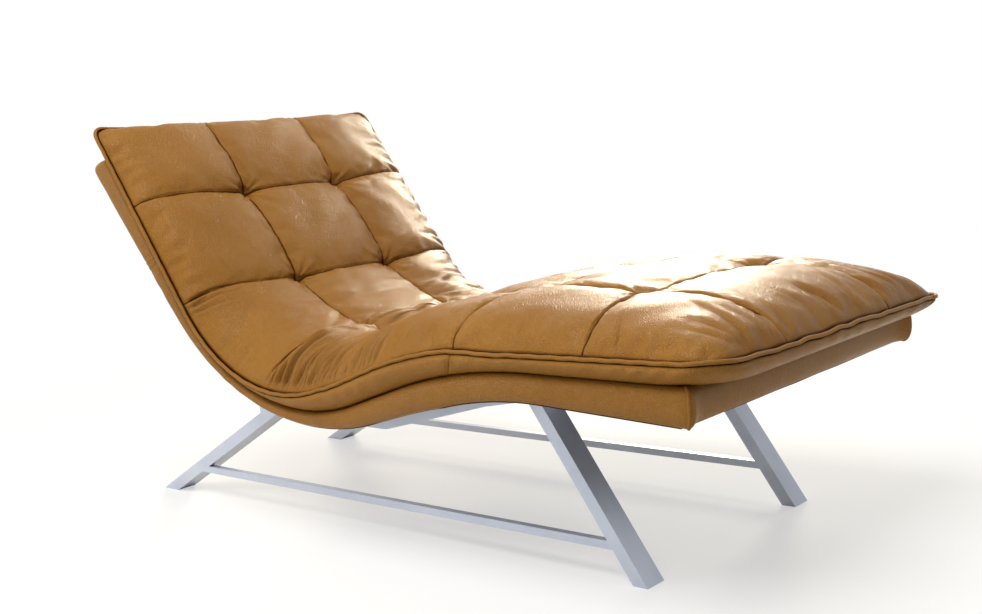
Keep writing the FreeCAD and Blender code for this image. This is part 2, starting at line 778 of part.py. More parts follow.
def rail_caps():
    """Returns the plugs that close the left top rail's two ends."""
    inset = TUBE_WALL + FIT
    caps = []
    for begin, end in ((0.0, RAIL_CAP), (TOP_RAIL.length - RAIL_CAP, TOP_RAIL.length)):
        face = profile(TOP_RAIL.path(-inset, begin, end), TOP_RAIL.path(inset - TOP_RAIL_DEPTH, begin, end))
        caps.append(across(face, FRAME_INNER + inset, FRAME_OUTER - inset))
    return caps


def bolt(point, up):
    """Returns a hexagon bolt whose head bears on the rail's underside."""
    seat = point - up * TOP_RAIL_DEPTH
    radius = BOLT_HEAD_FLATS / math.sqrt(3.0)
    side = up.cross(ACROSS)
    corners = []
    for index in range(6):
        angle = math.radians(60.0 * index)
        corners.append(seat + (side * math.cos(angle) + ACROSS * math.sin(angle)) * radius)
    head = polygon(corners).extrude(up * -BOLT_HEAD_HEIGHT)
    shank = Part.makeCylinder(BOLT_RADIUS, TOP_RAIL_DEPTH + BOLT_REACH, seat, up)
    return head.fuse(shank)


def insert(point, up):
    """Returns the threaded insert over a bolt, set into a cross rail just inside the dust cover."""
    base = point + up * (UNDER_SKIN + SOFT_GAP)
    sleeve = Part.makeCylinder(INSERT_RADIUS, INSERT_LENGTH, base, up)
    return sleeve.cut(Part.makeCylinder(BOLT_RADIUS + FIT, INSERT_LENGTH, base, up))


def bolt_cutter(point, up):
    """Returns the cutter for a bolt's and an insert's way through the dust cover and a cross rail."""
    base = point - up * FIT
    return Part.makeCylinder(INSERT_RADIUS + FIT, BOLT_REACH + 2 * FIT, base, up)


def frame_nodes():
    """Returns the nodes of the steel side frames and their fasteners."""
    sides = legs()
    sides["low_rail"] = low_rail()
    sides["top_rail"] = top_rail()
    nodes = side_nodes(sides)
    nodes["foot_plugs"] = with_mirrors(foot_plugs())
    nodes["rail_caps"] = with_mirrors(rail_caps())
    nodes["frame_bolts"] = with_mirrors([bolt(*place) for place in bolt_places()])
    nodes["threaded_inserts"] = with_mirrors([insert(*place) for place in bolt_places()])
    return nodes


def side_nodes(sides):
    """Returns left pieces and their mirror copies as nodes."""
    nodes = {}
    for name, shape in sides.items():
        nodes[name + "_left"] = [shape]
        nodes[name + "_right"] = [mirrored(shape)]
    return nodes


def shell_nodes():
    """Returns the nodes of the upholstered shell."""
    block = shell_block()
    cutters = Part.makeCompound(with_mirrors([bolt_cutter(*place) for place in bolt_places()]))
    nodes = side_nodes({"side_member": core(BAY_HALF, INNER_HALF), "side_band": side_band(block)})
    for name, shape in cross_rails(cutters).items():
        nodes[name] = [shape]
    head_band, foot_band = end_bands(block)
    back_panel, dust_cover = under_skins()
    nodes["head_band"] = [head_band]
    nodes["foot_band"] = [foot_band]
    nodes["back_panel"] = [back_panel]
    nodes["dust_cover"] = [dust_cover.cut(cutters)]
    nodes["webbing"] = straps()
    nodes["shell_foam"] = [core_layer(-LINING - SHELL_FOAM, -LINING)]
    nodes["shell_lining"] = [core_layer(-LINING, 0.0)]
    return nodes


def pad_nodes():
    """Returns the nodes of the tufted pad."""
    nodes = {"pad_underside": [pad_underside()]}
    for name, shape in pad_borders().items():
        nodes[name] = [shape]
    nodes["pad_piping"] = piping_cords()
    nodes["row_baffles"] = row_baffles()
    for row, name in enumerate(ROW_NAMES):
        nodes["pad_row_" + name] = [pad_row(row)]
    return nodes


def export(nodes):
    """Writes each node to its own file, with the origin under the middle of the whole lounger."""
    os.makedirs("parts", exist_ok=True)
    heel = rear_leg_back(0.0)
    tip = WAVE.place(PAD_FOOT, BORDER_FOOT)[0]
    middle = ALONG * ((heel.x + tip.x) / 2)
    for name, solids in nodes.items():
        shape = solids[0] if len(solids) == 1 else Part.makeCompound(solids)
        shape.translate(middle * -1.0)
        shape.exportStep(os.path.join("parts", name + ".step"))


export({**frame_nodes(), **shell_nodes(), **pad_nodes()})
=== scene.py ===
"""Looks of a wave lounger: a tufted leather pad on an upholstered shell with steel side frames.

Lengths are metres. +X runs to the foot end, +Y to the sitter's left and +Z up. A station is a distance
along the wave line, the joint between shell and pad, and a height is square to that line.
"""

import json
import logging
import math
from dataclasses import dataclass
from enum import Enum
from typing import Callable

import bmesh
import bpy
import numpy as np
from mathutils import Matrix, Vector


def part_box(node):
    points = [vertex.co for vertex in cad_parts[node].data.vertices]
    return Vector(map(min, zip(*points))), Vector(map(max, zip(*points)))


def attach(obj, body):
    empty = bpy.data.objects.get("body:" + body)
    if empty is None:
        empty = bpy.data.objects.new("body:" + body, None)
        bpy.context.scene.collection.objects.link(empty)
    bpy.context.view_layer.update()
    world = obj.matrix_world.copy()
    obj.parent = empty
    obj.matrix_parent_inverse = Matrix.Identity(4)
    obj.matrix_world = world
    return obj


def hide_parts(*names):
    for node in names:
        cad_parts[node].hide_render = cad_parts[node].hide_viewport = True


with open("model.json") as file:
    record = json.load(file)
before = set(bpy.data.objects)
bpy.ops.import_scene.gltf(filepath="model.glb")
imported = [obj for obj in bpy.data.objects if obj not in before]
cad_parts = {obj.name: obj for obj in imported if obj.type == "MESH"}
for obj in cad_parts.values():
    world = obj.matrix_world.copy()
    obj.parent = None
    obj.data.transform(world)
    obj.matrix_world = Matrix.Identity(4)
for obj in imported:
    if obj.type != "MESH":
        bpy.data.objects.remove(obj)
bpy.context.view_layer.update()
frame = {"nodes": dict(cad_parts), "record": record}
LOG = logging.getLogger("lounger")
BODY = "root"
Array = np.ndarray
Surface = Callable[[Array, Array], Array]
Piece = bpy.types.Object
Material = bpy.types.Material
Socket = bpy.types.NodeSocket
Colour = tuple[float, float, float, float]


class Side(Enum):
    """The two sides of the lounger, as the sign of Y."""

    LEFT = 1.0
    RIGHT = -1.0


class Slot(Enum):
    """The record's material slots."""

    LEATHER = "leather"
    STEEL = "steel"
    PLASTIC = "plug_plastic"
    ZINC = "zinc"
    WOOD = "wood"
    WEBBING = "webbing"
    FOAM = "foam"
    CLOTH = "cloth"


def unit(value: Array) -> Array:
    """Returns values held between 0 and 1."""
    return np.clip(value, 0.0, 1.0)


def arch(share: Array) -> Array:
    """Returns a rise from 0 at both ends of a span to 1 in its middle."""
    return 1.0 - (2.0 * share - 1.0) ** 2


def shoulder(share: Array) -> Array:
    """Returns a quarter-round rise from 0 at the piping to 1 at the next seam."""
    return np.sqrt(unit(1.0 - (1.0 - share) ** 2))


def bell(offset: Array, width: float = 1.0) -> Array:
    """Returns a round hump that is 1 at an offset of 0 and almost gone at twice the width."""
    return np.exp(-(offset / width) ** 2)


def swing(value: Array, bend: float, other: Array) -> Array:
    """Returns a sine wave whose crests wander with another sine wave."""
    return np.sin(value + bend * np.sin(other))


def stacked(x: Array, y: Array, z: Array) -> Array:
    """Returns points from their three coordinates."""
    return np.stack([x, y, z], axis=1)


def ease(value: Array) -> Array:
    """Returns a smooth step from 0 to 1 for values from 0 to 1."""
    part = unit(value)
    return part * part * (3.0 - 2.0 * part)


def spread(share: Array) -> Array:
    """Returns shares drawn towards both ends of their span, so that faces are finer beside seams."""
    return share - 0.5 * np.sin(2.0 * math.pi * share) / (2.0 * math.pi)


def slack(station: Array, y: Array) -> Array:
    """Returns how far the soft pad sinks towards its left foot corner, and the waves of its foot edge.

    Args:
        station: distances along the wave line.
        y: places across.

    Returns:
        The depths, below zero where a wave rises.
    """
    corner = 0.007 * ease((station - 1.44) / 0.22) * ease((y - 0.02) / 0.34)
    waves = swing(y * 41.0, 2.4, y * 13.0) + 0.4 * swing(y * 87.0, 3.0, y * 9.0)
    return corner + 0.0013 * waves * ease((station - 1.70) / 0.06)


def sag(station: Array, y: Array) -> Array:
    """Returns how far the leg rest's weight of filling draws its piping down."""
    knee = 0.009 * ease((station - 1.22) / 0.14)
    return knee + 0.008 * ease((station - 1.60) / 0.16) * ease((y + 0.40) / 0.25)


@dataclass
class WaveLine:
    """The joint line between shell and pad: straight back, seat bend, thigh, knee bend, level legs."""

    seat_low: float = 0.270
    seat_radius: float = 0.430
    back_angle: float = 56.0
    back_run: float = 0.402
    thigh_angle: float = 18.5
    thigh_run: float = 0.126
    knee_radius: float = 0.983
    leg_run: float = 0.320
    pad_foot_overhang: float = 0.061
    sample: float = 0.001
    margin: float = 0.2

    def __post_init__(self) -> None:
        """Lays out the turning of the line and samples it, with its foot end on the frame's."""
        back, thigh = math.radians(self.back_angle), math.radians(self.thigh_angle)
        lengths = [self.back_run, self.seat_radius * (back + thigh), self.thigh_run,
                   self.knee_radius * thigh, self.leg_run]
        self.breaks = np.cumsum([0.0] + lengths)
        self.length = float(self.breaks[-1])
        turns = [0.0, back + thigh, 0.0, -thigh, 0.0]
        count = int((self.length + 2 * self.margin) / self.sample) + 1
        self.stations = np.linspace(-self.margin, self.length + self.margin, count)
        self.slopes = np.interp(self.stations, self.breaks, -back + np.cumsum([0.0] + turns))
        middle = (self.slopes[1:] + self.slopes[:-1]) / 2
        step = np.diff(self.stations)
        self.x = np.concatenate([[0.0], np.cumsum(np.cos(middle) * step)])
        self.z = np.concatenate([[0.0], np.cumsum(np.sin(middle) * step)])
        self.z += self.seat_low - self.z.min()
        foot = np.interp(self.length + self.pad_foot_overhang, self.stations, self.x)
        self.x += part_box("pad_piping")[1].x - foot

    def place(self, station: Array, height: Array) -> tuple[Array, Array]:
        """Returns X and Z at stations and heights.

        Args:
            station: distances along the line.
            height: distances square to it, towards the sitter.

        Returns:
            The X and the Z values.
        """
        slope = np.interp(station, self.stations, self.slopes)
        x = np.interp(station, self.stations, self.x) - np.sin(slope) * height
        z = np.interp(station, self.stations, self.z) + np.cos(slope) * height
        return x, z

    def locate(self, x: Array, z: Array) -> tuple[Array, Array]:
        """Returns the stations and heights of side-view points.

        Args:
            x: their X values.
            z: their Z values.

        Returns:
            The nearest stations and the heights over them.
        """
        gap = (self.x[None, :] - x[:, None]) ** 2 + (self.z[None, :] - z[:, None]) ** 2
        nearest = gap.argmin(axis=1)
        slope = self.slopes[nearest]
        height = (z - self.z[nearest]) * np.cos(slope) - (x - self.x[nearest]) * np.sin(slope)
        return self.stations[nearest], height


class Edges:
    """Heights of the frame's visible edges over the wave line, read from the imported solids."""

    def __init__(self, wave: WaveLine, cord_rise: float = 0.0043) -> None:
        """Reads the piping's height and the shell's depth along the wave.

        Args:
            wave: the wave line.
            cord_rise: how far the piping's middle is over the border strips.
        """
        self.wave = wave
        self.cord_rise = cord_rise
        self.border = self.outline(["pad_border_left"], facing=1.0)
        self.under = self.outline(["back_panel", "dust_cover"], facing=-1.0)

    def outline(self, nodes: list[str], facing: float) -> tuple[Array, Array]:
        """Returns stations and heights along the upper or the lower faces of nodes.

        Args:
            nodes: the frame's nodes.
            facing: 1 for faces towards the sitter, -1 for faces away.

        Returns:
            The stations in rising order and their heights.
        """
        found = []
        for node in nodes:
            mesh = frame["nodes"][node].data
            for face in mesh.polygons:
                station, _ = self.wave.locate(np.array([face.center.x]), np.array([face.center.z]))
                slope = float(np.interp(station[0], self.wave.stations, self.wave.slopes))
                toward = face.normal.z * math.cos(slope) - face.normal.x * math.sin(slope)
                if facing * toward > 0.8:
                    found.extend(mesh.vertices[index].co[:] for index in face.vertices)
        points = np.array(found)
        station, height = self.wave.locate(points[:, 0], points[:, 2])
        station, first = np.unique(np.round(station, 3), return_index=True)
        return station, height[first]

    def piping(self, station: Array, y: Array) -> Array:
        """Returns the height of the piping's middle at stations and places across."""
        return np.interp(station, *self.border) + self.cord_rise - sag(station, y)

    def depth(self, station: Array) -> Array:
        """Returns the height of the shell's underside at stations, below zero."""
        return np.interp(station, *self.under)


@dataclass(frozen=True)
class Rim:
    """A rectangle with rounded corners in stations and places across, walked round from its right side.

    Its radii are those of the right head, right foot, left foot and left head corners.
    """

    head: float
    foot: float
    half: float
    radii: tuple[float, float, float, float]
    corner_share: float = 0.015
    side_share: float = 0.33

    def at(self, share: Array) -> tuple[Array, Array, Array]:
        """Returns stations, places across and outward angles.

        Args:
            share: shares of the walk, from 0 to 1.

        Returns:
            Stations, places across and angles from the foot direction.
        """
        end_share = 0.5 - self.side_share - 2.0 * self.corner_share
        widths = np.array([self.side_share, self.corner_share, end_share, self.corner_share] * 2)
        stops = np.concatenate([[0.0], np.cumsum(widths)])
        run = np.mod(share, 1.0)
        index = np.clip(np.searchsorted(stops, run, side="right") - 1, 0, 7)
        part = (run - stops[index]) / widths[index]
        signs = ((1.0, -1.0), (-1.0, -1.0), (-1.0, 1.0), (1.0, 1.0), (1.0, -1.0))
        corners = np.array([(self.head + radius if ahead > 0.0 else self.foot - radius,
                             side * (self.half - radius), radius)
                            for (ahead, side), radius in zip(signs, self.radii + self.radii[:1])])
        side = index // 2
        ahead = np.where(index % 2 == 1, 1.0, part)[:, None]
        centre, across, radius = (corners[side] + (corners[side + 1] - corners[side]) * ahead).T
        angle = (side - 1.0 + np.where(index % 2 == 1, part, 0.0)) * math.pi / 2
        return centre + radius * np.cos(angle), across + radius * np.sin(angle), angle


def deselect() -> None:
    """Deselects every object, so that the next operator acts on its own piece only."""
    bpy.ops.object.select_all(action="DESELECT")


def make_active(piece: Piece) -> None:
    """Selects one piece alone for the next operator.

    Args:
        piece: the piece to work on.
    """
    deselect()
    piece.select_set(True)
    bpy.context.view_layer.objects.active = piece


def points_of(piece: Piece) -> Array:
    """Returns a piece's points.

    Args:
        piece: a mesh object.

    Returns:
        One row of coordinates for each point.
    """
    points = np.empty(len(piece.data.vertices) * 3)
    piece.data.vertices.foreach_get("co", points)
    return points.reshape(-1, 3)


def set_points(piece: Piece, points: Array) -> None:
    """Moves a piece's points."""
    piece.data.vertices.foreach_set("co", np.ascontiguousarray(points, dtype=float).ravel())
    piece.data.update()


def shaped_grid(name: str, along: int, across: int, place: Surface) -> Piece:
    """Adds a grid and lays its points on a surface.

    Args:
        name: the piece's name.
        along: faces in the first direction.
        across: faces in the second direction.
        place: gives points for two arrays of shares from 0 to 1.

    Returns:
        The new object, at the origin.
    """
    deselect()
    bpy.ops.mesh.primitive_grid_add(x_subdivisions=along, y_subdivisions=across, size=1.0, calc_uvs=True)
    piece = bpy.context.object
    piece.name = name
    piece.data.name = name
    points = points_of(piece)
    set_points(piece, place(points[:, 0] + 0.5, points[:, 1] + 0.5))
    return piece


def add_attribute(piece: Piece, name: str, values: Array) -> None:
    """Stores one number for each point of a piece, for its material to read."""
    layer = piece.data.attributes.new(name, "FLOAT", "POINT")
    layer.data.foreach_set("value", values.astype(np.float32))


def read_attribute(piece: Piece, name: str) -> Array:
    """Returns the stored numbers of a piece's points.

    Args:
        piece: a mesh object.
        name: the name under which they were stored.

    Returns:
        One number for each point.
    """
    values = np.empty(len(piece.data.vertices), dtype=np.float32)
    piece.data.attributes[name].data.foreach_get("value", values)
    return values.astype(float)


def grid_shares(piece: Piece) -> tuple[Array, Array]:
    """Returns the two shares of each point of a fresh grid, read from its own map.

    Args:
        piece: the grid.

    Returns:
        The shares in the grid's first and second direction.
    """
    loops = np.empty(len(piece.data.loops), dtype=np.int32)
    piece.data.loops.foreach_get("vertex_index", loops)
    uv = np.empty(len(loops) * 2, dtype=np.float32)
    piece.data.uv_layers.active.data.foreach_get("uv", uv)
    shares = np.zeros((len(piece.data.vertices), 2))
    shares[loops] = uv.reshape(-1, 2)
    return shares[:, 0], shares[:, 1]


def apply_modifiers(piece: Piece) -> None:
    """Applies a piece's modifiers in order.

    Args:
        piece: the piece that carries them.
    """
    make_active(piece)
    for modifier in list(piece.modifiers):
        bpy.ops.object.modifier_apply(modifier=modifier.name)


def subdivide(piece: Piece, levels: int) -> None:
    """Smooths a piece by subdivision and applies it.

    Args:
        piece: the piece to smooth.
        levels: how often each face is divided.
    """
    modifier = piece.modifiers.new("Smooth", "SUBSURF")
    modifier.levels = levels
    modifier.render_levels = levels
    apply_modifiers(piece)


def close_and_orient(piece: Piece, merge: float = 1e-5) -> None:
    """Merges a piece's doubled points and turns its faces outwards.

    Args:
        piece: the piece to clean.
        merge: the distance under which points are one.
    """
    make_active(piece)
    bpy.ops.object.mode_set(mode="EDIT")
    bpy.ops.mesh.select_all(action="SELECT")
    bpy.ops.mesh.remove_doubles(threshold=merge)
    bpy.ops.mesh.normals_make_consistent(inside=False)
    bpy.ops.object.mode_set(mode="OBJECT")


def smooth(piece: Piece) -> None:
    """Shades a piece smoothly all over."""
    piece.data.polygons.foreach_set("use_smooth", np.ones(len(piece.data.polygons), dtype=bool))


def thicken(piece: Piece, thickness: float, offset: float) -> None:
    """Gives a sheet its thickness.

    Args:
        piece: the sheet.
        thickness: its thickness.
        offset: -1 for a wall inside its faces, 0 for one to both sides.
    """
    wall = piece.modifiers.new("Wall", "SOLIDIFY")
    wall.thickness = thickness
    wall.offset = offset
    apply_modifiers(piece)
    smooth(piece)


def cord(name: str, path: Array, up: Array, radius: float, faces: int, closed: bool) -> Piece:
    """Makes a round cord along a path.

    Args:
        name: the piece's name.
        path: points of the cord's middle, with the first repeated at the end where it is closed.
        up: a direction square to the path at each point.
        radius: the cord's radius.
        faces: faces round the cord.
        closed: whether its ends meet.

    Returns:
        The cord.
    """
    count = len(path)
    before, after = (path[-2:-1], path[1:2]) if closed else (path[:1], path[-1:])
    wide = np.concatenate([before, path, after])
    along = wide[2:] - wide[:-2]
    along /= np.linalg.norm(along, axis=1, keepdims=True)
    out = np.cross(along, up)
    out /= np.linalg.norm(out, axis=1, keepdims=True)
    top = np.cross(out, along)
    steps = np.arange(count)
    to_end = np.minimum(steps, steps[::-1])
    taper = np.ones(count) if closed else np.sqrt(unit(to_end / 4.0))

    def place(u: Array, v: Array) -> Array:
        """Returns points round the path.

        Args:
            u: shares of the path.
            v: shares of a turn round it.

        Returns:
            The points.
        """
        index = np.rint(u * (count - 1)).astype(int)
        angle = 2.0 * math.pi * v[:, None]
        ring = out[index] * np.cos(angle) + top[index] * np.sin(angle)
        return path[index] + ring * (radius * taper[index])[:, None]

    piece = shaped_grid(name, count - 1, faces, place)
    close_and_orient(piece)
    smooth(piece)
    return piece


def finish_piece(piece: Piece, material: Material, nodes: list[str]) -> None:
    """Dresses a new piece, ties it to the frame and hides the CAD nodes that it stands for.

    Args:
        piece: the finished mesh.
        material: its material.
        nodes: the CAD nodes that it replaces.
    """
    piece.data.materials.clear()
    piece.data.materials.append(material)
    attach(piece, BODY)
    if nodes:
        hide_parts(*nodes)
    if "seam" not in piece.data.attributes:
        add_attribute(piece, "seam", np.ones(len(piece.data.vertices)))
    LOG.info("%s: %d faces", piece.name, len(piece.data.polygons))


class Graph:
    """A short way to write the nodes of a material or of the surround."""

    def __init__(self, owner: Material | bpy.types.World) -> None:
        """Starts with the nodes that a new material or surround has."""
        owner.use_nodes = True
        self.owner, self.tree = owner, owner.node_tree

    def add(self, kind: str, **settings: object) -> bpy.types.Node:
        """Adds a node.

        Args:
            kind: the node's type.
            settings: properties of the node, and sockets to set or link.

        Returns:
            The node.
        """
        node = self.tree.nodes.new(kind)
        for key, value in settings.items():
            if hasattr(node, key):
                setattr(node, key, value)
            else:
                self.put(node.inputs[key.replace("_", " ")], value)
        return node

    def put(self, socket: Socket, value: object) -> None:
        """Sets a socket to a value or links an output to it.

        Args:
            socket: the input socket.
            value: a number, a colour or an output socket.
        """
        if isinstance(value, Socket):
            self.tree.links.new(value, socket)
        else:
            socket.default_value = value

    def fill(self, node: bpy.types.Node, *values: object) -> bpy.types.Node:
        """Sets or links a node's first sockets in order.

        Args:
            node: the node.
            values: numbers, colours or output sockets.

        Returns:
            The same node.
        """
        for socket, value in zip(node.inputs, values):
            self.put(socket, value)
        return node

    def shade(self, **values: object) -> None:
        """Sets or links the main shader's sockets."""
        for key, value in values.items():
            self.put(self.tree.nodes["Principled BSDF"].inputs[key.replace("_", " ")], value)

    def object_place(self) -> Socket:
        """Returns the piece's own coordinates."""
        return self.add("ShaderNodeTexCoord").outputs["Object"]

    def attribute(self, name: str) -> Socket:
        """Returns a stored number of the mesh."""
        return self.add("ShaderNodeAttribute", attribute_name=name).outputs["Fac"]

    def noise(self, scale: float, detail: float, rough: float = 0.5) -> Socket:
        """Returns a cloudy pattern from 0 to 1, from its fineness, finer layers and their strength."""
        sizes = {"Scale": scale, "Detail": detail, "Roughness": rough}
        return self.add("ShaderNodeTexNoise", Vector=self.object_place(), **sizes).outputs["Fac"]

    def stretched(self, stretch: tuple[float, float, float], scale: float) -> Socket:
        """Returns a cloudy pattern that is finer in some directions."""
        place = self.add("ShaderNodeMapping", Vector=self.object_place(), Scale=stretch).outputs["Vector"]
        return self.add("ShaderNodeTexNoise", Vector=place, Scale=scale, Detail=4.0).outputs["Fac"]

    def cells(self, scale: float) -> Socket:
        """Returns the distance to the edges of a cell pattern."""
        settings = {"feature": "DISTANCE_TO_EDGE", "Vector": self.object_place(), "Scale": scale}
        return self.add("ShaderNodeTexVoronoi", **settings).outputs["Distance"]

    def remap(self, value: Socket, low: float, high: float, new_low: float, new_high: float) -> Socket:
        """Returns a value stretched from one range to another."""
        ends = {"From_Min": low, "From_Max": high, "To_Min": new_low, "To_Max": new_high}
        return self.add("ShaderNodeMapRange", Value=value, **ends).outputs["Result"]

    def math(self, operation: str, first: Socket, second: Socket | float) -> Socket:
        """Returns the result of one arithmetic step."""
        return self.fill(self.add("ShaderNodeMath", operation=operation), first, second).outputs["Value"]

    def mix(self, factor: Socket, first: Socket | Colour, second: Socket | Colour) -> Socket:
        """Returns a blend of two colours."""
        node = self.add("ShaderNodeMix", data_type="RGBA", Factor=factor, A=first, B=second)
        return node.outputs["Result"]

    def blend(self, factor: Socket, first: Socket, second: Socket) -> Socket:
        """Returns a blend of two shaders."""
        return self.fill(self.add("ShaderNodeMixShader"), factor, first, second).outputs["Shader"]

    def bump(self, height: Socket, strength: float, distance: float, **under: Socket) -> Socket:
        """Returns a surface direction raised by a pattern, over a coarser one where Normal gives it."""
        sizes = {"Strength": strength, "Distance": distance}
        return self.add("ShaderNodeBump", Height=height, **sizes, **under).outputs["Normal"]


def new_material(name: str) -> Graph:
    """Starts a material and returns its nodes."""
    return Graph(bpy.data.materials.new(name))


@dataclass(frozen=True)
class LeatherFinish:
    """Tan leather with a pebbled grain, soft creases, dark sewn seams and painted shade in its creases,
    dimples and pleats.
    """

    name: str = "tan_leather"
    tone: Colour = (0.318, 0.143, 0.021, 1.0)
    deep: Colour = (0.222, 0.089, 0.009, 1.0)
    pale: Colour = (0.358, 0.171, 0.030, 1.0)
    # The colour of the sewn seams, and also of the painted shade in creases, dimples and pleats.
    seam: Colour = (0.060, 0.019, 0.004, 1.0)
    seam_width: float = 0.0020
    gloss: float = 0.16
    grain_scale: float = 240.0
    mottle_scale: float = 170.0
    crease_scale: float = 26.0
    crease_shade_depth: float = 0.55

    def make(self) -> Material:
        """Makes the leather, which reads the distance to the nearest seam and the painted crease shade from
        the mesh.

        Returns:
            The material.
        """
        graph = new_material(self.name)
        clouds = graph.remap(graph.noise(5.0, 4.0, 0.55), 0.32, 0.68, 0.55, 1.0)
        colour = graph.mix(clouds, self.deep, self.tone)
        patches = graph.remap(graph.noise(2.3, 2.0), 0.4, 0.75, 0.0, 0.4)
        colour = graph.mix(patches, colour, self.pale)
        mottle = graph.remap(graph.noise(self.mottle_scale, 2.0, 0.6), 0.3, 0.7, 0.0, 0.40)
        colour = graph.mix(mottle, colour, self.deep)
        grain = graph.remap(graph.cells(self.grain_scale), 0.0, 0.16, 0.0, 1.0)
        colour = graph.mix(graph.remap(grain, 0.0, 1.0, 0.3, 0.0), colour, self.deep)
        sewn = graph.remap(graph.attribute("seam"), 0.0008, self.seam_width, 1.0, 0.0)
        # Painted shade: the creases, tuft dimples and foot pleats that the pad stores darken towards the
        # seam colour.
        painted_crease_shade = graph.remap(graph.attribute("crease"), 0.0, 1.0, 0.0, self.crease_shade_depth)
        colour = graph.mix(painted_crease_shade, colour, self.seam)
        colour = graph.mix(sewn, colour, self.seam)
        creases = graph.remap(graph.noise(self.crease_scale, 6.0, 0.6), 0.25, 0.75, 0.0, 1.0)
        folds = graph.bump(creases, 0.28, 0.004)
        surface = graph.bump(grain, 0.60, 0.0012, Normal=folds)
        rough = graph.remap(graph.noise(18.0, 3.0), 0.3, 0.7, 0.30, 0.40)
        gloss = graph.remap(graph.attribute("seam"), 0.0, 2.0 * self.seam_width, 0.0, self.gloss)
        graph.shade(Base_Color=colour, Roughness=rough, Normal=surface, Specular_IOR_Level=gloss)
        return graph.owner


@dataclass(frozen=True)
class SteelFinish:
    """Satin silver steel with fine drawn lines along the tubes."""

    name: str = "satin_steel"
    tone: Colour = (0.45, 0.495, 0.59, 1.0)
    pale: Colour = (0.52, 0.565, 0.66, 1.0)

    def make(self) -> Material:
        """Makes the finish's nodes.

        Returns:
            The material.
        """
        graph = new_material(self.name)
        lines = graph.stretched((6.0, 240.0, 6.0), 3.0)
        clouds = graph.remap(graph.noise(9.0, 3.0), 0.3, 0.7, 0.0, 1.0)
        rough = graph.remap(lines, 0.2, 0.8, 0.34, 0.48)
        graph.shade(Base_Color=graph.mix(clouds, self.tone, self.pale), Roughness=rough, Metallic=0.45)
        graph.shade(Normal=graph.bump(lines, 0.05, 0.0004))
        return graph.owner


@dataclass(frozen=True)
class PlainFinish:
    """A matt finish with a cloudy tone and a fine bump: plastic, wood, cloth, foam or zinc."""

    name: str
    tone: Colour
    pale: Colour
    scale: tuple[float, float, float]
    rough: float
    metal: float = 0.0
    gloss: float = 0.5

    def make(self) -> Material:
        """Makes the finish's nodes.

        Returns:
            The material.
        """
        graph = new_material(self.name)
        clouds = graph.stretched(self.scale, 1.0)
        rough = graph.remap(clouds, 0.2, 0.8, self.rough - 0.06, self.rough + 0.06)
        colour = graph.mix(clouds, self.tone, self.pale)
        graph.shade(Base_Color=colour, Roughness=rough, Metallic=self.metal)
        graph.shade(Normal=graph.bump(clouds, 0.2, 0.0006), Specular_IOR_Level=self.gloss)
        return graph.owner


@dataclass(frozen=True)
class Fold:
    """One fold in the leather, from a side edge inwards: where it starts, its slant and its sizes."""

    start: float
    slant: float
    length: float
    depth: float = 0.0036
    width: float = 0.0035
    right: float = 1.0

    def press(self, station: Array, y: Array, to_rim: Array, lift: Array, crease: Array) -> None:
        """Presses the fold into the leather: a groove with a ridge beside it, and painted shade in the
        groove.

        Args:
            station: distances along the wave line.
            y: places across.
            to_rim: distances to the nearest side edge.
            lift: heights to change in place.
            crease: shares of painted crease shade to change in place.
        """
        centre = self.start + self.slant * to_rim + 0.003 * np.sin(to_rim * 60.0 + 9.0 * self.length)
        fade = unit(1.0 - to_rim / self.length) ** 0.7 * unit(to_rim / 0.010)
        fade = np.where(y < 0.0, fade * self.right, fade)
        offset = (station - centre) / self.width
        groove = bell(offset)
        lift += self.depth * fade * (0.6 * bell(offset - 1.9, 1.3) - groove)
        # Painted shade along the fold's groove.
        crease += fade * groove ** 2


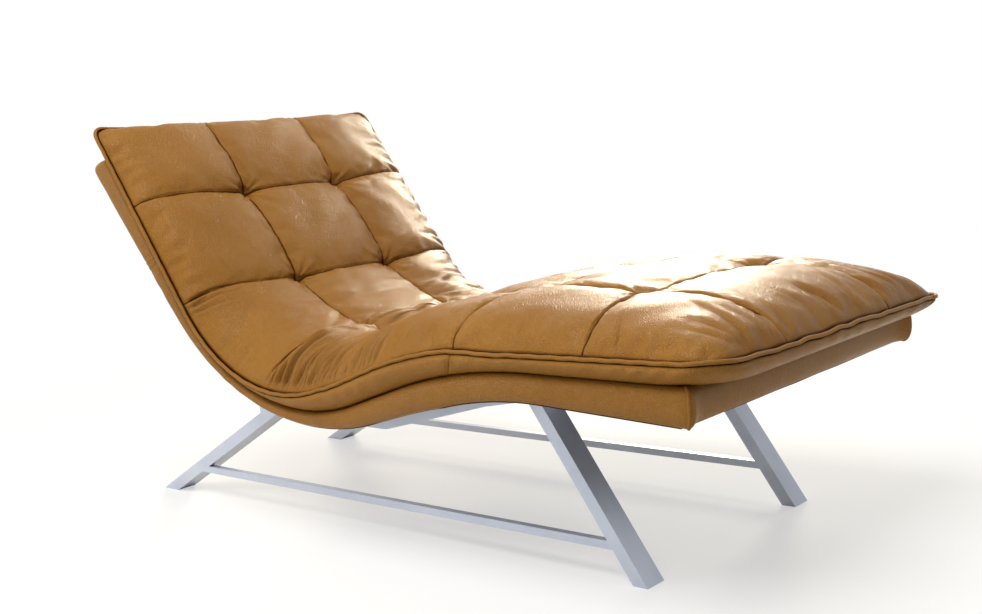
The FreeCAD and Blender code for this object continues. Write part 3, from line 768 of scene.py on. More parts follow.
@dataclass
class Pad:
    """The tufted pad top: six rows of three panels, blown up between seams and gathered at the tufts."""

    wave: WaveLine
    edges: Edges
    half_width: float = 0.4067
    head_end: float = -0.0645
    foot_end: float = 1.7792
    head_radius: float = 0.030
    foot_radii: tuple[float, float] = (0.058, 0.032)
    foot_bow: float = 0.006
    head_dip: float = 0.012
    head_overhang: float = 0.022
    tuft_stations: tuple[float, ...] = (0.166, 0.417, 0.708, 1.294, 1.522)
    edge_stations: tuple[float, ...] = (0.146, 0.398, 0.710, 1.266, 1.539)
    tuft_heights: tuple[float, ...] = (0.060, 0.078, 0.108, 0.108, 0.102)
    crowns: tuple[float, ...] = (0.013, 0.014, 0.014, 0.012, 0.010, 0.010)
    seam_rise: float = 0.012
    crest_station: float = 0.755
    crest_rise: float = 0.014
    crest_width: float = 0.026
    column_back: float = 0.137
    column_leg: float = 0.189
    row_faces: tuple[int, ...] = (26, 28, 32, 104, 28, 30)
    panel_faces: int = 32
    pressure: float = 3.0
    frames: int = 20
    largest_move: float = 0.014
    wave_height: float = 0.0014
    ripple_height: float = 0.0010
    ray_height: float = 0.0018
    rim_gather: float = 0.0012
    pleat_depth: float = 0.0022
    groove: float = 0.0030
    groove_width: float = 0.0035
    dimple: float = 0.013
    tuck: float = 0.003
    tuck_width: float = 0.012
    floor_length: float = 0.965
    floor_width: float = 0.91
    floor_height: float = 0.0018
    chance_seed: int = 11

    def __post_init__(self) -> None:
        """Works out the grid's counts and the stations of its rows."""
        self.last_row = len(self.row_faces) - 1
        self.along = sum(self.row_faces)
        self.across = 3 * self.panel_faces
        self.breaks = np.cumsum((0,) + self.row_faces)
        self.tuft_line = np.array((self.head_end,) + self.tuft_stations + (self.foot_end,))
        self.edge_line = np.array((self.head_end,) + self.edge_stations + (self.foot_end,))

    def column_seam(self, station: Array) -> Array:
        """Returns how far the column seams are from the middle at stations."""
        return np.interp(station, self.tuft_stations[2:4], (self.column_back, self.column_leg))

    def layout(self, u: Array, v: Array) -> dict[str, Array]:
        """Returns rows, panels and places for shares of the grid.

        Args:
            u: shares from head to foot.
            v: shares from the right edge to the left edge.

        Returns:
            Arrays by name: row, share, panel, part, outward, station, y, and the distances to a seam and to
            the rim.
        """
        line = u * self.along
        row = np.searchsorted(self.breaks, line + 1e-4, side="right") - 1
        row = np.clip(row, 0, self.last_row)
        share = spread((line - self.breaks[row]) / np.array(self.row_faces)[row])
        panel = np.clip(np.floor(3.0 * v + 1e-5), 0, 2)
        part = spread(3.0 * v - panel)
        outward = np.where(panel == 0, 1.0 - part, np.where(panel == 2, part, 0.0))
        blend = ease(outward)
        start = self.tuft_line[row] + (self.edge_line - self.tuft_line)[row] * blend
        end = self.tuft_line[row + 1] + (self.edge_line - self.tuft_line)[row + 1] * blend
        station = start + (end - start) * share
        column = self.column_seam(station)
        side_y = column + (self.half_width - column) * outward
        y = np.where(panel == 1, column * (2.0 * part - 1.0), np.where(panel == 0, -side_y, side_y))
        foot_bow = np.where(row == self.last_row, self.foot_bow * share, 0.0)
        bow = np.where(row == 0, self.head_dip * (1.0 - share), foot_bow)
        station = station + bow * (1.0 - (y / self.half_width) ** 4)
        before, after = np.where(row > 0, share, 1.0), np.where(row < self.last_row, 1.0 - share, 1.0)
        to_row = np.minimum(before, after) * (end - start)
        to_column = np.where(panel == 1, np.minimum(part, 1.0 - part) * 2.0 * column, side_y - column)
        to_foot = np.where(row == self.last_row, 1.0 - share, 2.0)
        to_end = np.where(row == 0, share, to_foot) * (end - start)
        rim = np.minimum(to_end, self.half_width - np.abs(y))
        return {"row": row, "share": share, "panel": panel, "part": part, "outward": outward,
                "station": station, "y": y, "seam": np.minimum(to_row, to_column), "rim": rim}

    def heights(self, grid: dict[str, Array]) -> Array:
        """Returns the height of the quilted top before it is blown up.

        Args:
            grid: the arrays that layout gives.

        Returns:
            Heights over the wave line.
        """
        row, share, station = grid["row"], grid["share"], grid["station"]
        rim = self.edges.piping(station, grid["y"])
        seam = np.interp(station, self.tuft_stations, self.tuft_heights)
        foot_roll = np.where(row == self.last_row, shoulder(1.0 - share), 1.0)
        roll = np.where(row == 0, shoulder(share), foot_roll)
        seam = rim + (seam - rim) * roll
        middle = grid["panel"] == 1
        part = np.where(middle, grid["part"], 1.0 - grid["outward"])
        along, across = arch(share), arch(part)
        row_rise = across * (2.0 * share - 1.0) ** 2 * roll
        column_rise = along * np.where(middle, (2.0 * part - 1.0) ** 2, part ** 2)
        puff = np.array(self.crowns)[row] * unit(along * across) ** 0.6
        base = np.where(middle, seam, rim + (seam - rim) * shoulder(part))
        return base + self.seam_rise * (row_rise + column_rise) + puff - slack(station, grid["y"])

    def rounded(self, station: Array, y: Array) -> tuple[Array, Array]:
        """Rounds the pad's four corners.

        Args:
            station: distances along the wave line.
            y: places across.

        Returns:
            The new stations and places across.
        """
        middle = (self.head_end + self.foot_end) / 2
        foot_radius = np.where(y < 0.0, *self.foot_radii)
        radius = np.where(station > middle, foot_radius, self.head_radius)
        reach = (self.foot_end - self.head_end) / 2 - radius
        side = self.half_width - radius
        past_end = np.clip(np.abs(station - middle) - reach, 0.0, None)
        past_side = np.clip(np.abs(y) - side, 0.0, None)
        shrink = np.maximum(past_end, past_side) / np.maximum(np.hypot(past_end, past_side), 1e-9)
        new_station = station - np.sign(station - middle) * past_end * (1.0 - shrink)
        return new_station, y - np.sign(y) * past_side * (1.0 - shrink)

    def top_points(self, u: Array, v: Array) -> Array:
        """Places the quilted top.

        Args:
            u: shares from head to foot.
            v: shares from the right edge to the left edge.

        Returns:
            The points.
        """
        grid = self.layout(u, v)
        height = self.heights(grid)
        station, y = self.rounded(grid["station"], grid["y"])
        over = np.sin(math.pi * unit(grid["share"] / 0.4)) * (1.0 - grid["outward"] ** 6)
        station = np.where(grid["row"] == 0, station - self.head_overhang * over, station)
        x, z = self.wave.place(station, height)
        return stacked(x, y, z)

    def build(self, material: Material) -> None:
        """Args:
            material: its leather.
        """
        piece = shaped_grid("pad_cushion", self.along, self.across, self.top_points)
        u, v = grid_shares(piece)
        grid = self.layout(u, v)
        self.inflate(piece, np.minimum(grid["seam"], grid["rim"]) < 1e-4)
        add_attribute(piece, "along", u)
        add_attribute(piece, "across", v)
        subdivide(piece, 1)
        u, v = read_attribute(piece, "along"), read_attribute(piece, "across")
        grid = self.layout(u, v)
        self.gather(piece, grid)
        tucked = self.tuck * bell(grid["station"] - self.tuft_stations[2], self.tuck_width)
        add_attribute(piece, "seam", np.minimum(grid["seam"] + tucked, 0.9 * grid["rim"]))
        self.close(piece)
        smooth(piece)
        names = ("head", "upper_back", "lower_back", "seat", "calf", "foot")
        nodes = ["pad_row_" + name for name in names] + ["row_baffles", "pad_underside"]
        finish_piece(piece, material, nodes)

    def inflate(self, piece: Piece, held: Array) -> None:
        """Blows the panels up as cloth held at its seams, and limits how far a point moves.

        Args:
            piece: the quilted grid.
            held: which points lie on a seam or on the rim.
        """
        before = points_of(piece)
        group = piece.vertex_groups.new(name="seams")
        group.add([int(index) for index in np.flatnonzero(held)], 1.0, "REPLACE")
        modifier = piece.modifiers.new("Cloth", "CLOTH")
        cloth = modifier.settings
        cloth.quality = 6
        cloth.mass = 0.4
        cloth.tension_stiffness = 25.0
        cloth.compression_stiffness = 25.0
        cloth.shear_stiffness = 12.0
        cloth.bending_stiffness = 1.5
        cloth.shrink_min = -0.015
        cloth.use_pressure = True
        cloth.uniform_pressure_force = self.pressure
        cloth.vertex_group_mass = group.name
        cloth.effector_weights.gravity = 0.0
        modifier.point_cache.frame_start = 1
        modifier.point_cache.frame_end = self.frames
        for number in range(1, self.frames + 1):
            bpy.context.scene.frame_set(number)
        apply_modifiers(piece)
        moved = points_of(piece) - before
        length = np.linalg.norm(moved, axis=1, keepdims=True)
        limit = self.largest_move * np.tanh(length / self.largest_move) / np.maximum(length, 1e-9)
        set_points(piece, before + moved * limit)
        bpy.context.scene.frame_set(1)
        LOG.info("pad_cushion: points moved up to %.1f mm", 1000 * float(length.max()))

    def gather(self, piece: Piece, grid: dict[str, Array]) -> None:
        """Adds the sewing's dimples, rays, ripples, gathers, folds and creases, and stores their painted
        shade.

        Args:
            piece: the blown-up top.
            grid: the arrays that layout gives for its points.
        """
        station, y, seam = grid["station"], grid["y"], grid["seam"]
        chance = np.random.default_rng(self.chance_seed)
        waves = swing(station * 38.0, 3.0, y * 11.0) * swing(y * 31.0, 2.0, station * 17.0)
        lift = self.wave_height * waves
        crease = np.zeros_like(station)
        self.draw_tufts(grid, chance, lift, crease)
        ripple = swing(station * 260.0, 4.0, y * 37.0) * np.cos(y * 240.0 + 3.0 * np.sin(station * 29.0))
        lift += self.ripple_height * ripple * np.exp(-seam / 0.014)
        lift -= self.groove * bell(seam, self.groove_width)
        to_rim = self.half_width - np.abs(y)
        crest = bell(station - self.crest_station, self.crest_width) * ease(to_rim / 0.09)
        lift += self.crest_rise * crest * (1.0 + 0.25 * swing(y * 45.0, 2.0, y * 17.0))
        pull = swing(station * 120.0, 5.0, station * 23.0 + np.sign(y))
        lift += self.rim_gather * pull * bell(to_rim - 0.02, 0.025)
        self.pleat_foot(grid, chance, lift, crease)
        for fold in self.folds(chance):
            fold.press(station, y, to_rim, lift, crease)
        normals = np.empty(len(station) * 3)
        piece.data.vertices.foreach_get("normal", normals)
        edge = unit(grid["rim"] / 0.008)
        set_points(piece, points_of(piece) + normals.reshape(-1, 3) * (lift * edge)[:, None])
        # Stores the painted shade of creases, dimples and pleats as the crease attribute.
        add_attribute(piece, "crease", unit(crease))

    def draw_tufts(self, grid: dict[str, Array], chance: np.random.Generator, lift: Array,
                   crease: Array) -> None:
        """Draws the leather in at the tufts, with rays round them and painted shade in the dimples.

        Args:
            grid: the arrays that layout gives.
            chance: a seeded source of small differences.
            lift: heights to change in place.
            crease: shares of painted crease shade to change in place.
        """
        for tuft in self.tuft_stations:
            for side in Side:
                aside = grid["y"] - side.value * self.column_seam(np.array([tuft]))
                ahead = grid["station"] - tuft
                reach, angle = np.hypot(ahead, aside), np.arctan2(aside, ahead)
                turn = chance.uniform(0.0, 6.28, 2)
                rays = np.cos(9.0 * angle + turn[0]) + 0.6 * np.cos(14.0 * angle + turn[1])
                lift += self.ray_height * rays * bell(reach, 0.05) * unit(reach / 0.018)
                lift -= self.dimple * bell(reach, 0.017)
                # Painted shade in the tuft's dimple.
                crease += 0.8 * bell(reach, 0.011)

    def pleat_foot(self, grid: dict[str, Array], chance: np.random.Generator, lift: Array,
                   crease: Array) -> None:
        """Lays short pleats in from the foot edge, with painted shade along their grooves.

        Args:
            grid: the arrays that layout gives.
            chance: a seeded source of small differences.
            lift: heights to change in place.
            crease: shares of painted crease shade to change in place.
        """
        to_foot = np.where(grid["row"] == self.last_row, (1.0 - grid["share"]) * 0.25, 1.0)
        for place in np.arange(-0.36, 0.37, 0.043):
            shift, tilt, depth = chance.uniform(-1.0, 1.0, 3)
            middle = place + 0.016 * shift + (to_foot - 0.05) * 0.5 * tilt
            reach = 0.05 + 0.03 * tilt
            aside = grid["y"] - middle
            fold = bell(aside, 0.007) - 0.6 * bell(aside - 0.016, 0.011)
            fade = (1.2 + depth) * bell(to_foot - 0.045, reach)
            lift -= self.pleat_depth * fold * fade
            # Painted shade along the pleat's groove.
            crease += 0.35 * fade * bell(aside, 0.003)

    @staticmethod
    def folds(chance: np.random.Generator) -> list[Fold]:
        """Returns the folds that run in from the side edges.

        Args:
            chance: a seeded source of small differences.

        Returns:
            The fan at the seat, single folds at two seams, and folds on the left of the back.
        """
        single = ((0.396, 0.05, 0.16), (0.410, 0.20, 0.11), (0.425, 0.35, 0.08), (1.60, -0.3, 0.09))
        found = [Fold(*sizes) for sizes in single]
        for start in np.arange(0.724, 1.060, 0.0145):
            jitter = chance.uniform(-1.0, 1.0, 4)
            slant = 0.30 * (start - 0.76) + 0.10 * jitter[1]
            depth = (0.0105 + 0.0028 * jitter[3]) * (1.0 - 1.4 * (start - 0.724))
            place, length = start + 0.005 * jitter[0], 0.15 + 0.06 * jitter[2]
            found.append(Fold(place, slant, length, depth, width=0.0048))
        for start in np.arange(0.44, 0.70, 0.028):
            jitter = chance.uniform(-1.0, 1.0, 3)
            slant = 0.9 * (0.60 - start) + 0.15 * jitter[0]
            length, depth = 0.24 + 0.08 * jitter[1], 0.0058 + 0.0016 * jitter[2]
            found.append(Fold(start, slant, length, depth, width=0.0085, right=0.0))
        for start in np.arange(0.02, 0.42, 0.031):
            jitter = chance.uniform(-1.0, 1.0, 4)
            place, length = start + 0.007 * jitter[0], 0.11 + 0.04 * jitter[2]
            depth = 0.0062 + 0.0020 * jitter[3]
            found.append(Fold(place, 0.25 * jitter[1], length, depth, width=0.0075, right=0.0))
        return found

    def close(self, piece: Piece) -> None:
        """Closes the cushion with a wall down to the wave line and a floor under it.

        Args:
            piece: the gathered top.
        """
        mesh = bmesh.new()
        mesh.from_mesh(piece.data)
        across = mesh.verts.layers.float["across"]
        rim = [edge for edge in mesh.edges if edge.is_boundary]
        old = set(mesh.verts)
        bmesh.ops.extrude_edge_only(mesh, edges=rim)
        low = [vertex for vertex in mesh.verts if vertex not in old]
        points = np.array([vertex.co for vertex in low])
        station, _ = self.wave.locate(points[:, 0], points[:, 2])
        middle = (self.head_end + self.foot_end) / 2
        shorter = middle + (station - middle) * self.floor_length
        x, z = self.wave.place(shorter, np.full(len(low), self.floor_height))
        chains = {0: [], 1: []}
        for vertex, place, new_x, new_z in zip(low, station, x, z):
            vertex.co = (new_x, self.floor_width * vertex.co.y, new_z)
            ends = (edge.other_vert(vertex) for edge in vertex.link_edges)
            upper = next(end for end in ends if end in old)
            if upper[across] < 1e-4 or upper[across] > 1.0 - 1e-4:
                chains[int(upper[across] > 0.5)].append((place, vertex))
        right, left = (sorted(chains[key], key=lambda item: item[0]) for key in (0, 1))
        for index in range(min(len(left), len(right)) - 1):
            corners = (left[index], left[index + 1], right[index + 1], right[index])
            mesh.faces.new([vertex for _, vertex in corners])
        bmesh.ops.holes_fill(mesh, edges=[edge for edge in mesh.edges if edge.is_boundary], sides=0)
        bmesh.ops.recalc_face_normals(mesh, faces=mesh.faces)
        mesh.to_mesh(piece.data)
        mesh.free()


@dataclass
class PadTrim:
    """The pad's soft border strip and the piping sewn round its top edge."""

    wave: WaveLine
    edges: Edges
    top_rim: Rim = Rim(-0.0690, 1.7835, 0.411, (0.030, 0.060, 0.036, 0.030))
    low_rim: Rim = Rim(-0.0520, 1.7740, 0.3900, (0.055, 0.110, 0.110, 0.055))
    head_dip: float = 0.012
    foot_bow: float = 0.006
    cord_radius: float = 0.0037
    ear: float = 0.007
    bulge: float = 0.0095
    wall: float = 0.0018
    pucker: float = 0.0020
    tuck_in: float = 0.0035
    sewn_depth: float = 0.005
    sewn_width: float = 0.004
    sewn_stations: tuple[float, ...] = (0.718, 1.262)
    side_from: float = 0.39

    def top_edge(self, share: Array) -> tuple[Array, Array, Array, Array]:
        """Places the middle of the piping.

        Args:
            share: shares of the way round the pad.

        Returns:
            Stations, places across, heights and outward angles.
        """
        station, y, angle = self.top_rim.at(share)
        pointed = np.where(station < 0.8, 0.09, np.where(y > 0.0, 1.0, 0.1))
        ear = self.ear * np.abs(np.sin(2.0 * angle)) ** 0.7 * pointed
        bow = self.head_dip * unit(-np.cos(angle)) ** 2
        bow += self.foot_bow * unit(np.cos(angle)) ** 2
        station = station + bow * (1.0 - (y / self.top_rim.half) ** 4)
        height = self.edges.piping(station, y) + 0.2 * ear - slack(station, y)
        return station + ear * np.cos(angle), y + ear * np.sin(angle), height, angle

    def build_piping(self, material: Material) -> None:
        """Makes the piping, a round cord closed round the pad.

        Args:
            material: its leather.
        """
        station, y, height, _ = self.top_edge(np.linspace(0.0, 1.0, 1401))
        height = height + 0.0004 * swing(station * 140.0, 3.0, y * 40.0)
        x, z = self.wave.place(station, height)
        slope = np.interp(station, self.wave.stations, self.wave.slopes)
        up = np.stack([-np.sin(slope), np.zeros_like(slope), np.cos(slope)], axis=1)
        piece = cord("pad_piping_cord", stacked(x, y, z), up, self.cord_radius, 12, closed=True)
        finish_piece(piece, material, ["pad_piping"])

    def border_points(self, u: Array, v: Array) -> Array:
        """Places the border strip.

        Args:
            u: shares of the way round the pad.
            v: shares of the way up the strip.

        Returns:
            The points.
        """
        station, y, top, angle = self.top_edge(u)
        low_station, low_y, _ = self.low_rim.at(u)
        tall = np.clip((top - 0.012) / 0.03, 0.05, 1.0)
        pucker = swing(station * 85.0, 4.0, station * 19.0) + swing(y * 76.0, 3.0, y * 17.0)
        bulge = self.bulge * (1.0 - 0.6 * np.abs(np.sin(2.0 * angle)))
        out = tall * (bulge * arch(v) ** 0.8 + self.pucker * pucker * arch(v) * v)
        out -= self.tuck_in * v ** 6
        for sewn in self.sewn_stations:
            groove = self.sewn_depth * bell(station - sewn, self.sewn_width)
            out -= groove * (np.abs(y) > self.side_from) * tall * arch(v)
        part = 1.0 - (1.0 - v) ** 2.2
        station = low_station + (station - low_station) * part + np.cos(angle) * out
        y = low_y + (y - low_y) * part + np.sin(angle) * out
        x, z = self.wave.place(station, 0.0006 + (top - 0.0026) * v)
        return stacked(x, y, z)

    def build_border(self, material: Material) -> None:
        """Makes the border, a soft strip from the shell up to the piping all round the pad.

        Args:
            material: its leather.
        """
        piece = shaped_grid("pad_border_strip", 1500, 12, self.border_points)
        u, v = grid_shares(piece)
        station, y, _ = self.top_rim.at(u)
        away = np.min([np.abs(station - sewn) for sewn in self.sewn_stations], axis=0)
        below = np.clip((1.0 - v) * self.edges.piping(station, y) - 0.0022, 0.0, None)
        add_attribute(piece, "seam", np.minimum(np.where(np.abs(y) > self.side_from, away, 1.0), below))
        close_and_orient(piece)
        thicken(piece, self.wall, -1.0)
        nodes = ["pad_border_" + name for name in ("left", "right", "head", "foot")]
        finish_piece(piece, material, nodes)


@dataclass
class Shell:
    """The cover of the wave shell: a soft roll all round, corner welts, lining and underside."""

    wave: WaveLine
    edges: Edges
    half_width: float = 0.404
    inset: float = 0.024
    section: float = 0.78
    corner_radius: float = 0.016
    corner_ear: float = 0.015
    head_lean: float = 0.306
    fade: float = 0.10
    welt_radius: float = 0.0032
    panel_half: float = 0.3920
    skin: float = 0.002
    lining_edge: float = 0.030
    lining: float = 0.006
    outer_share: float = 0.8
    pucker: float = 0.0007
    crease: float = 0.0022
    crease_width: float = 0.003
    crease_stations: tuple[float, ...] = (0.255, 0.268, 0.281)
    welt_shares: tuple[float, float] = (0.3375, 0.4925)
    panel_start: float = 0.014
    cover_end: float = 0.016

    def __post_init__(self) -> None:
        """Lays out the shell's rim in stations and places across."""
        self.rim = Rim(0.0, self.wave.length, self.half_width, (self.corner_radius,) * 4)

    def leaned(self, station: Array, height: Array) -> tuple[Array, Array]:
        """Returns X and Z, with the head end leaning as the shell's end does."""
        near = unit(1.0 - station / self.fade)
        return self.wave.place(station + self.head_lean * height * near, height)

    def roll_points(self, u: Array, v: Array) -> Array:
        """Places the roll, whose section is round on its outer side and flat on its inner side.

        Args:
            u: shares of the way round the shell.
            v: shares of the way round the section.

        Returns:
            The points.
        """
        station, y, angle = self.rim.at(u)
        depth = self.edges.depth(station)
        turn = math.pi / 2 - math.pi * unit(v / self.outer_share)
        rise = np.sign(np.sin(turn)) * np.abs(np.sin(turn)) ** self.section
        height = depth / 2 * (1.0 - rise)
        out = self.inset * (unit(np.cos(turn)) ** self.section - 1.0)
        inner = v > self.outer_share
        past = (v - self.outer_share) / (1.0 - self.outer_share)
        height = np.where(inner, depth * (1.0 - past), height)
        out = np.where(inner, -self.inset, out)
        outer = np.where(inner, 0.0, np.cos(turn))
        pucker = swing(station * 64.0, 4.0, station * 21.0) * np.sin(turn * 2.0 + station * 9.0)
        out = out + self.pucker * pucker * outer
        for place in self.crease_stations:
            out = out - self.crease * bell(station - place - 0.1 * height, self.crease_width) * outer
        ear = self.corner_ear * bell(self.half_width - np.abs(y), 0.03) * (station > 1.0) * np.cos(angle)
        x, z = self.leaned(station + np.cos(angle) * out + ear, height)
        return np.stack([x, y + np.sin(angle) * out, z], axis=1)

    def build_roll(self, material: Material) -> None:
        """Makes the leather roll round the shell's edge.

        Args:
            material: its leather.
        """
        piece = shaped_grid("shell_roll", 1200, 25, self.roll_points)
        close_and_orient(piece)
        smooth(piece)
        nodes = ["side_band_left", "side_band_right", "head_band", "foot_band"]
        finish_piece(piece, material, nodes)

    def build_welts(self, material: Material) -> None:
        """Makes the welts down the shell's two foot corners.

        Args:
            material: their leather.
        """
        for side, share in zip((Side.RIGHT, Side.LEFT), self.welt_shares):
            v = np.linspace(0.03, 0.77, 41)
            path = self.roll_points(np.full_like(v, share), v)
            outward = np.array([1.0, side.value, 0.0]) / math.sqrt(2.0)
            up = np.tile(np.array([-outward[1], outward[0], 0.0]), (len(v), 1))
            piece = cord("shell_welt_" + side.name.lower(), path, up, self.welt_radius, 10, closed=False)
            finish_piece(piece, material, [])

    def build_skin(self, node: str, material: Material, bulge: float) -> None:
        """Makes one of the two sheets that close the shell's underside.

        Args:
            node: the CAD node that it stands for.
            material: its material.
            bulge: how far its middle stands out.
        """
        first, last = self.panel_start, self.hem
        if node == "dust_cover":
            first, last = self.hem, self.wave.length - self.cover_end

        def place(u: Array, v: Array) -> Array:
            """Places the sheet.

            Args:
                u: shares of its length.
                v: shares of its width.

            Returns:
                The points.
            """
            station = first + (last - first) * u
            y = self.panel_half * (2.0 * v - 1.0)
            ripple = swing(station * 27.0, 3.0, y * 8.0) * np.sin(y * 19.0 + 2.0)
            out = bulge * np.sqrt(unit(arch(u) * arch(v))) + 0.0006 * (1.0 + ripple) * arch(v)
            x, z = self.leaned(station, self.edges.depth(station) + self.skin / 2 - out)
            return stacked(x, y, z)

        piece = shaped_grid("shell_" + node, 120, 60, place)
        close_and_orient(piece)
        thicken(piece, self.skin, 0.0)
        finish_piece(piece, material, [node])

    def build_lining(self, material: Material) -> None:
        """Makes the lined foam sheet that closes the shell's top under the pad.

        Args:
            material: its cloth.
        """
        length, half = self.wave.length - 2.0 * self.lining_edge, self.half_width - self.lining_edge

        def place(u: Array, v: Array) -> Array:
            """Places the sheet.

            Args:
                u: shares of its length.
                v: shares of its width.

            Returns:
                The points.
            """
            station = self.lining_edge + length * u
            x, z = self.wave.place(station, np.full_like(station, -0.0005 - self.lining / 2))
            return np.stack([x, half * (2.0 * v - 1.0), z], axis=1)

        piece = shaped_grid("shell_lined_foam", 120, 40, place)
        close_and_orient(piece)
        thicken(piece, self.lining, 0.0)
        finish_piece(piece, material, ["shell_foam", "shell_lining"])

    @property
    def hem(self) -> float:
        """The station where the back panel meets the dust cover.

        Returns:
            The distance along the wave line.
        """
        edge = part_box("back_panel")
        station, _ = self.wave.locate(np.array([edge[1].x]), np.array([edge[0].z]))
        return float(station[0])


@dataclass
class Studio:
    """Camera, soft light and pale floor."""

    focal_pixels: float = 1298.79
    image_width: float = 982.0
    sensor: float = 36.0
    yaw: float = 0.725777
    pitch: float = 0.138161
    roll: float = -0.077376
    place: tuple[float, float, float] = (1.80624, -2.01248, 0.79482)
    floor_size: float = 12.0
    fade_start: float = 1.1
    fade_end: float = 2.6
    floor_white: float = 0.5
    surround_level: float = 0.31

    def build_camera(self) -> None:
        """Sets the camera at the photograph's viewpoint."""
        data = bpy.data.cameras.new("camera")
        data.sensor_width = self.sensor
        data.lens = self.focal_pixels * self.sensor / self.image_width
        ahead = Vector((-math.sin(self.yaw) * math.cos(self.pitch),
                        math.cos(self.yaw) * math.cos(self.pitch), -math.sin(self.pitch)))
        right = Vector((math.cos(self.yaw), math.sin(self.yaw), 0.0))
        up = right.cross(ahead)
        turned_right = right * math.cos(self.roll) + up * math.sin(self.roll)
        turned_up = up * math.cos(self.roll) - right * math.sin(self.roll)
        axes = Matrix((turned_right, turned_up, -ahead)).transposed()
        camera = bpy.data.objects.new("camera", data)
        camera.matrix_world = Matrix.Translation(self.place) @ axes.to_4x4()
        bpy.context.scene.collection.objects.link(camera)
        bpy.context.scene.camera = camera

    def build_floor(self) -> None:
        """Adds a pale floor that keeps the lounger's shadow and fades into the white surround."""
        deselect()
        bpy.ops.mesh.primitive_plane_add(size=self.floor_size, location=(0.0, 0.0, 0.0))
        floor = bpy.context.object
        floor.name = "floor"
        graph = new_material("pale_floor")
        clouds = graph.remap(graph.noise(0.8, 2.0), 0.3, 0.7, 0.0, 1.0)
        pale = graph.mix(clouds, (0.88, 0.88, 0.88, 1.0), (0.91, 0.91, 0.91, 1.0))
        graph.shade(Base_Color=pale, Roughness=0.8, Specular_IOR_Level=0.1)
        distance = graph.fill(graph.add("ShaderNodeVectorMath", operation="LENGTH"), graph.object_place())
        fade = graph.add("ShaderNodeMapRange", interpolation_type="SMOOTHSTEP",
                         Value=distance.outputs["Value"], From_Min=self.fade_start, From_Max=self.fade_end)
        path = graph.add("ShaderNodeLightPath")
        seen = graph.math("MULTIPLY", path.outputs["Is Camera Ray"], self.floor_white)
        glow = graph.add("ShaderNodeEmission", Strength=1.0).outputs["Emission"]
        lit = graph.blend(seen, graph.tree.nodes["Principled BSDF"].outputs["BSDF"], glow)
        clear = graph.add("ShaderNodeBsdfTransparent").outputs["BSDF"]
        faded = graph.blend(fade.outputs["Result"], lit, clear)
        graph.put(graph.tree.nodes["Material Output"].inputs["Surface"], faded)
        floor.data.materials.append(graph.owner)

    def build_light(self) -> None:
        """Adds a soft key light, a back light, a wide top light and a fill, and a white surround."""
        self.area("key", (-0.9, 2.5, 2.5), 1.0, 25.0, (1.0, 0.93, 0.78))
        self.area("back", (-1.55, 3.1, 1.6), 0.75, 95.0, (1.0, 0.91, 0.72))
        self.area("top", (0.2, -1.4, 3.1), 2.2, 94.0, (1.0, 0.98, 0.93))
        self.area("fill", (-2.1, -2.7, 1.3), 1.6, 34.0, (1.0, 0.98, 0.95))
        graph = Graph(bpy.data.worlds.new("surround"))
        bpy.context.scene.world = graph.owner
        path = graph.add("ShaderNodeLightPath")
        seen = path.outputs["Is Camera Ray"]
        for kind in ("Is Glossy Ray", "Is Transmission Ray"):
            seen = graph.math("MAXIMUM", seen, path.outputs[kind])
        level = graph.remap(seen, 0.0, 1.0, self.surround_level, 1.0)
        graph.put(graph.tree.nodes["Background"].inputs["Strength"], level)
        graph.put(graph.tree.nodes["Background"].inputs["Color"], (1.0, 1.0, 1.0, 1.0))
        bpy.context.scene.view_settings.view_transform = "Standard"

    @staticmethod
    def area(name: str, place: tuple[float, float, float], size: float, power: float,
             tint: tuple[float, float, float]) -> None:
        """Adds one square lamp that faces the middle of the lounger.

        Args:
            name: the lamp's name.
            place: where it hangs.
            size: the length of its sides.
            power: its power in watts.
            tint: its colour.
        """
        data = bpy.data.lights.new(name, "AREA")
        data.size = size
        data.energy = power
        data.color = tint
        lamp = bpy.data.objects.new(name, data)
        lamp.location = place
        aim = Vector((0.0, 0.0, 0.4)) - Vector(place)
        lamp.rotation_mode = "QUATERNION"
        lamp.rotation_quaternion = aim.to_track_quat("-Z", "Y")
        bpy.context.scene.collection.objects.link(lamp)


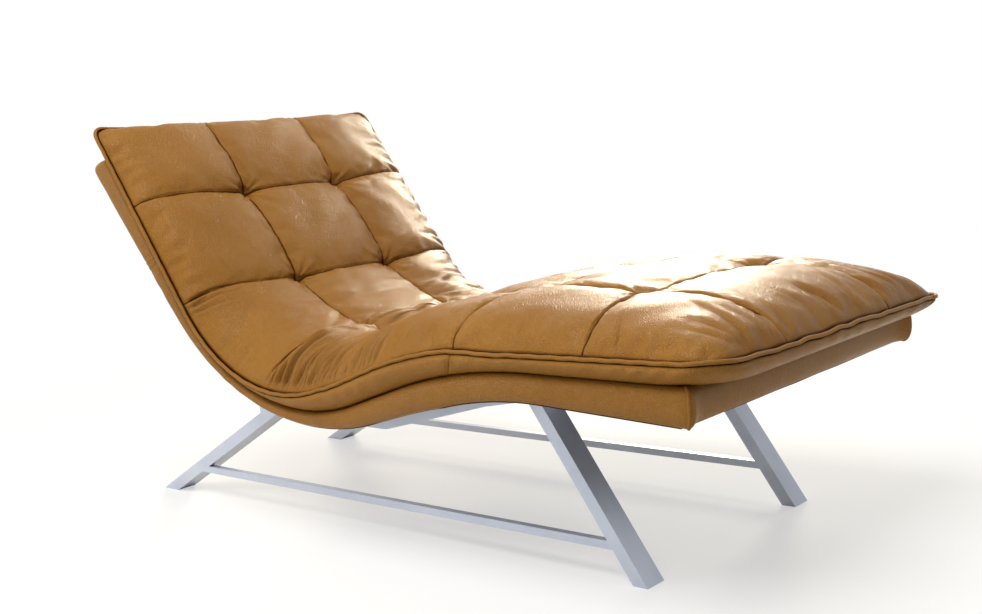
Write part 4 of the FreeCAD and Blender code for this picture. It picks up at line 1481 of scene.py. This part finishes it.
def frame_finishes(leather: Material) -> dict[Slot, Material]:
    """Makes a material for each of the record's slots.

    Args:
        leather: the leather, which is made already.

    Returns:
        The materials by slot.
    """
    plain = {
        Slot.PLASTIC: PlainFinish("black_plastic", (0.02, 0.02, 0.02, 1), (0.05, 0.05, 0.05, 1),
                                  (180.0, 180.0, 180.0), 0.55),
        Slot.ZINC: PlainFinish("zinc", (0.55, 0.55, 0.53, 1), (0.7, 0.7, 0.68, 1),
                               (90.0, 90.0, 90.0), 0.35, 1.0),
        Slot.WOOD: PlainFinish("laminated_wood", (0.36, 0.22, 0.10, 1), (0.55, 0.38, 0.20, 1),
                               (4.0, 60.0, 90.0), 0.6),
        Slot.WEBBING: PlainFinish("webbing_cloth", (0.03, 0.03, 0.03, 1), (0.08, 0.08, 0.08, 1),
                                  (400.0, 90.0, 400.0), 0.8),
        Slot.FOAM: PlainFinish("foam_sheet", (0.62, 0.56, 0.40, 1), (0.74, 0.68, 0.50, 1),
                               (260.0, 260.0, 260.0), 0.9),
        Slot.CLOTH: PlainFinish("lining_cloth", (0.040, 0.018, 0.006, 1), (0.075, 0.036, 0.013, 1),
                                (700.0, 700.0, 700.0), 0.85, gloss=0.05),
    }
    made = {slot: finish.make() for slot, finish in plain.items()}
    return {Slot.LEATHER: leather, Slot.STEEL: SteelFinish().make(), **made}


def dress_frame(finishes: dict[Slot, Material]) -> None:
    """Gives every CAD node the material of its slot.

    Args:
        finishes: the materials by slot.
    """
    for entry in frame["record"]["subparts"]:
        piece = frame["nodes"][entry["node"]]
        piece.data.materials.clear()
        piece.data.materials.append(finishes[Slot(entry["material_slot"])])


def main() -> None:
    """Builds the lounger's looks in order."""
    logging.basicConfig(level=logging.INFO, format="%(name)s: %(message)s")
    wave = WaveLine()
    edges = Edges(wave)
    leather = LeatherFinish().make()
    finishes = frame_finishes(leather)
    dress_frame(finishes)
    shell = Shell(wave, edges)
    shell.build_roll(leather)
    shell.build_welts(leather)
    shell.build_lining(finishes[Slot.CLOTH])
    shell.build_skin("back_panel", leather, bulge=0.003)
    shell.build_skin("dust_cover", finishes[Slot.CLOTH], bulge=0.001)
    Pad(wave, edges).build(leather)
    trim = PadTrim(wave, edges)
    trim.build_border(leather)
    trim.build_piping(leather)
    studio = Studio()
    studio.build_camera()
    studio.build_floor()
    studio.build_light()


if __name__ == "__main__":
    main()
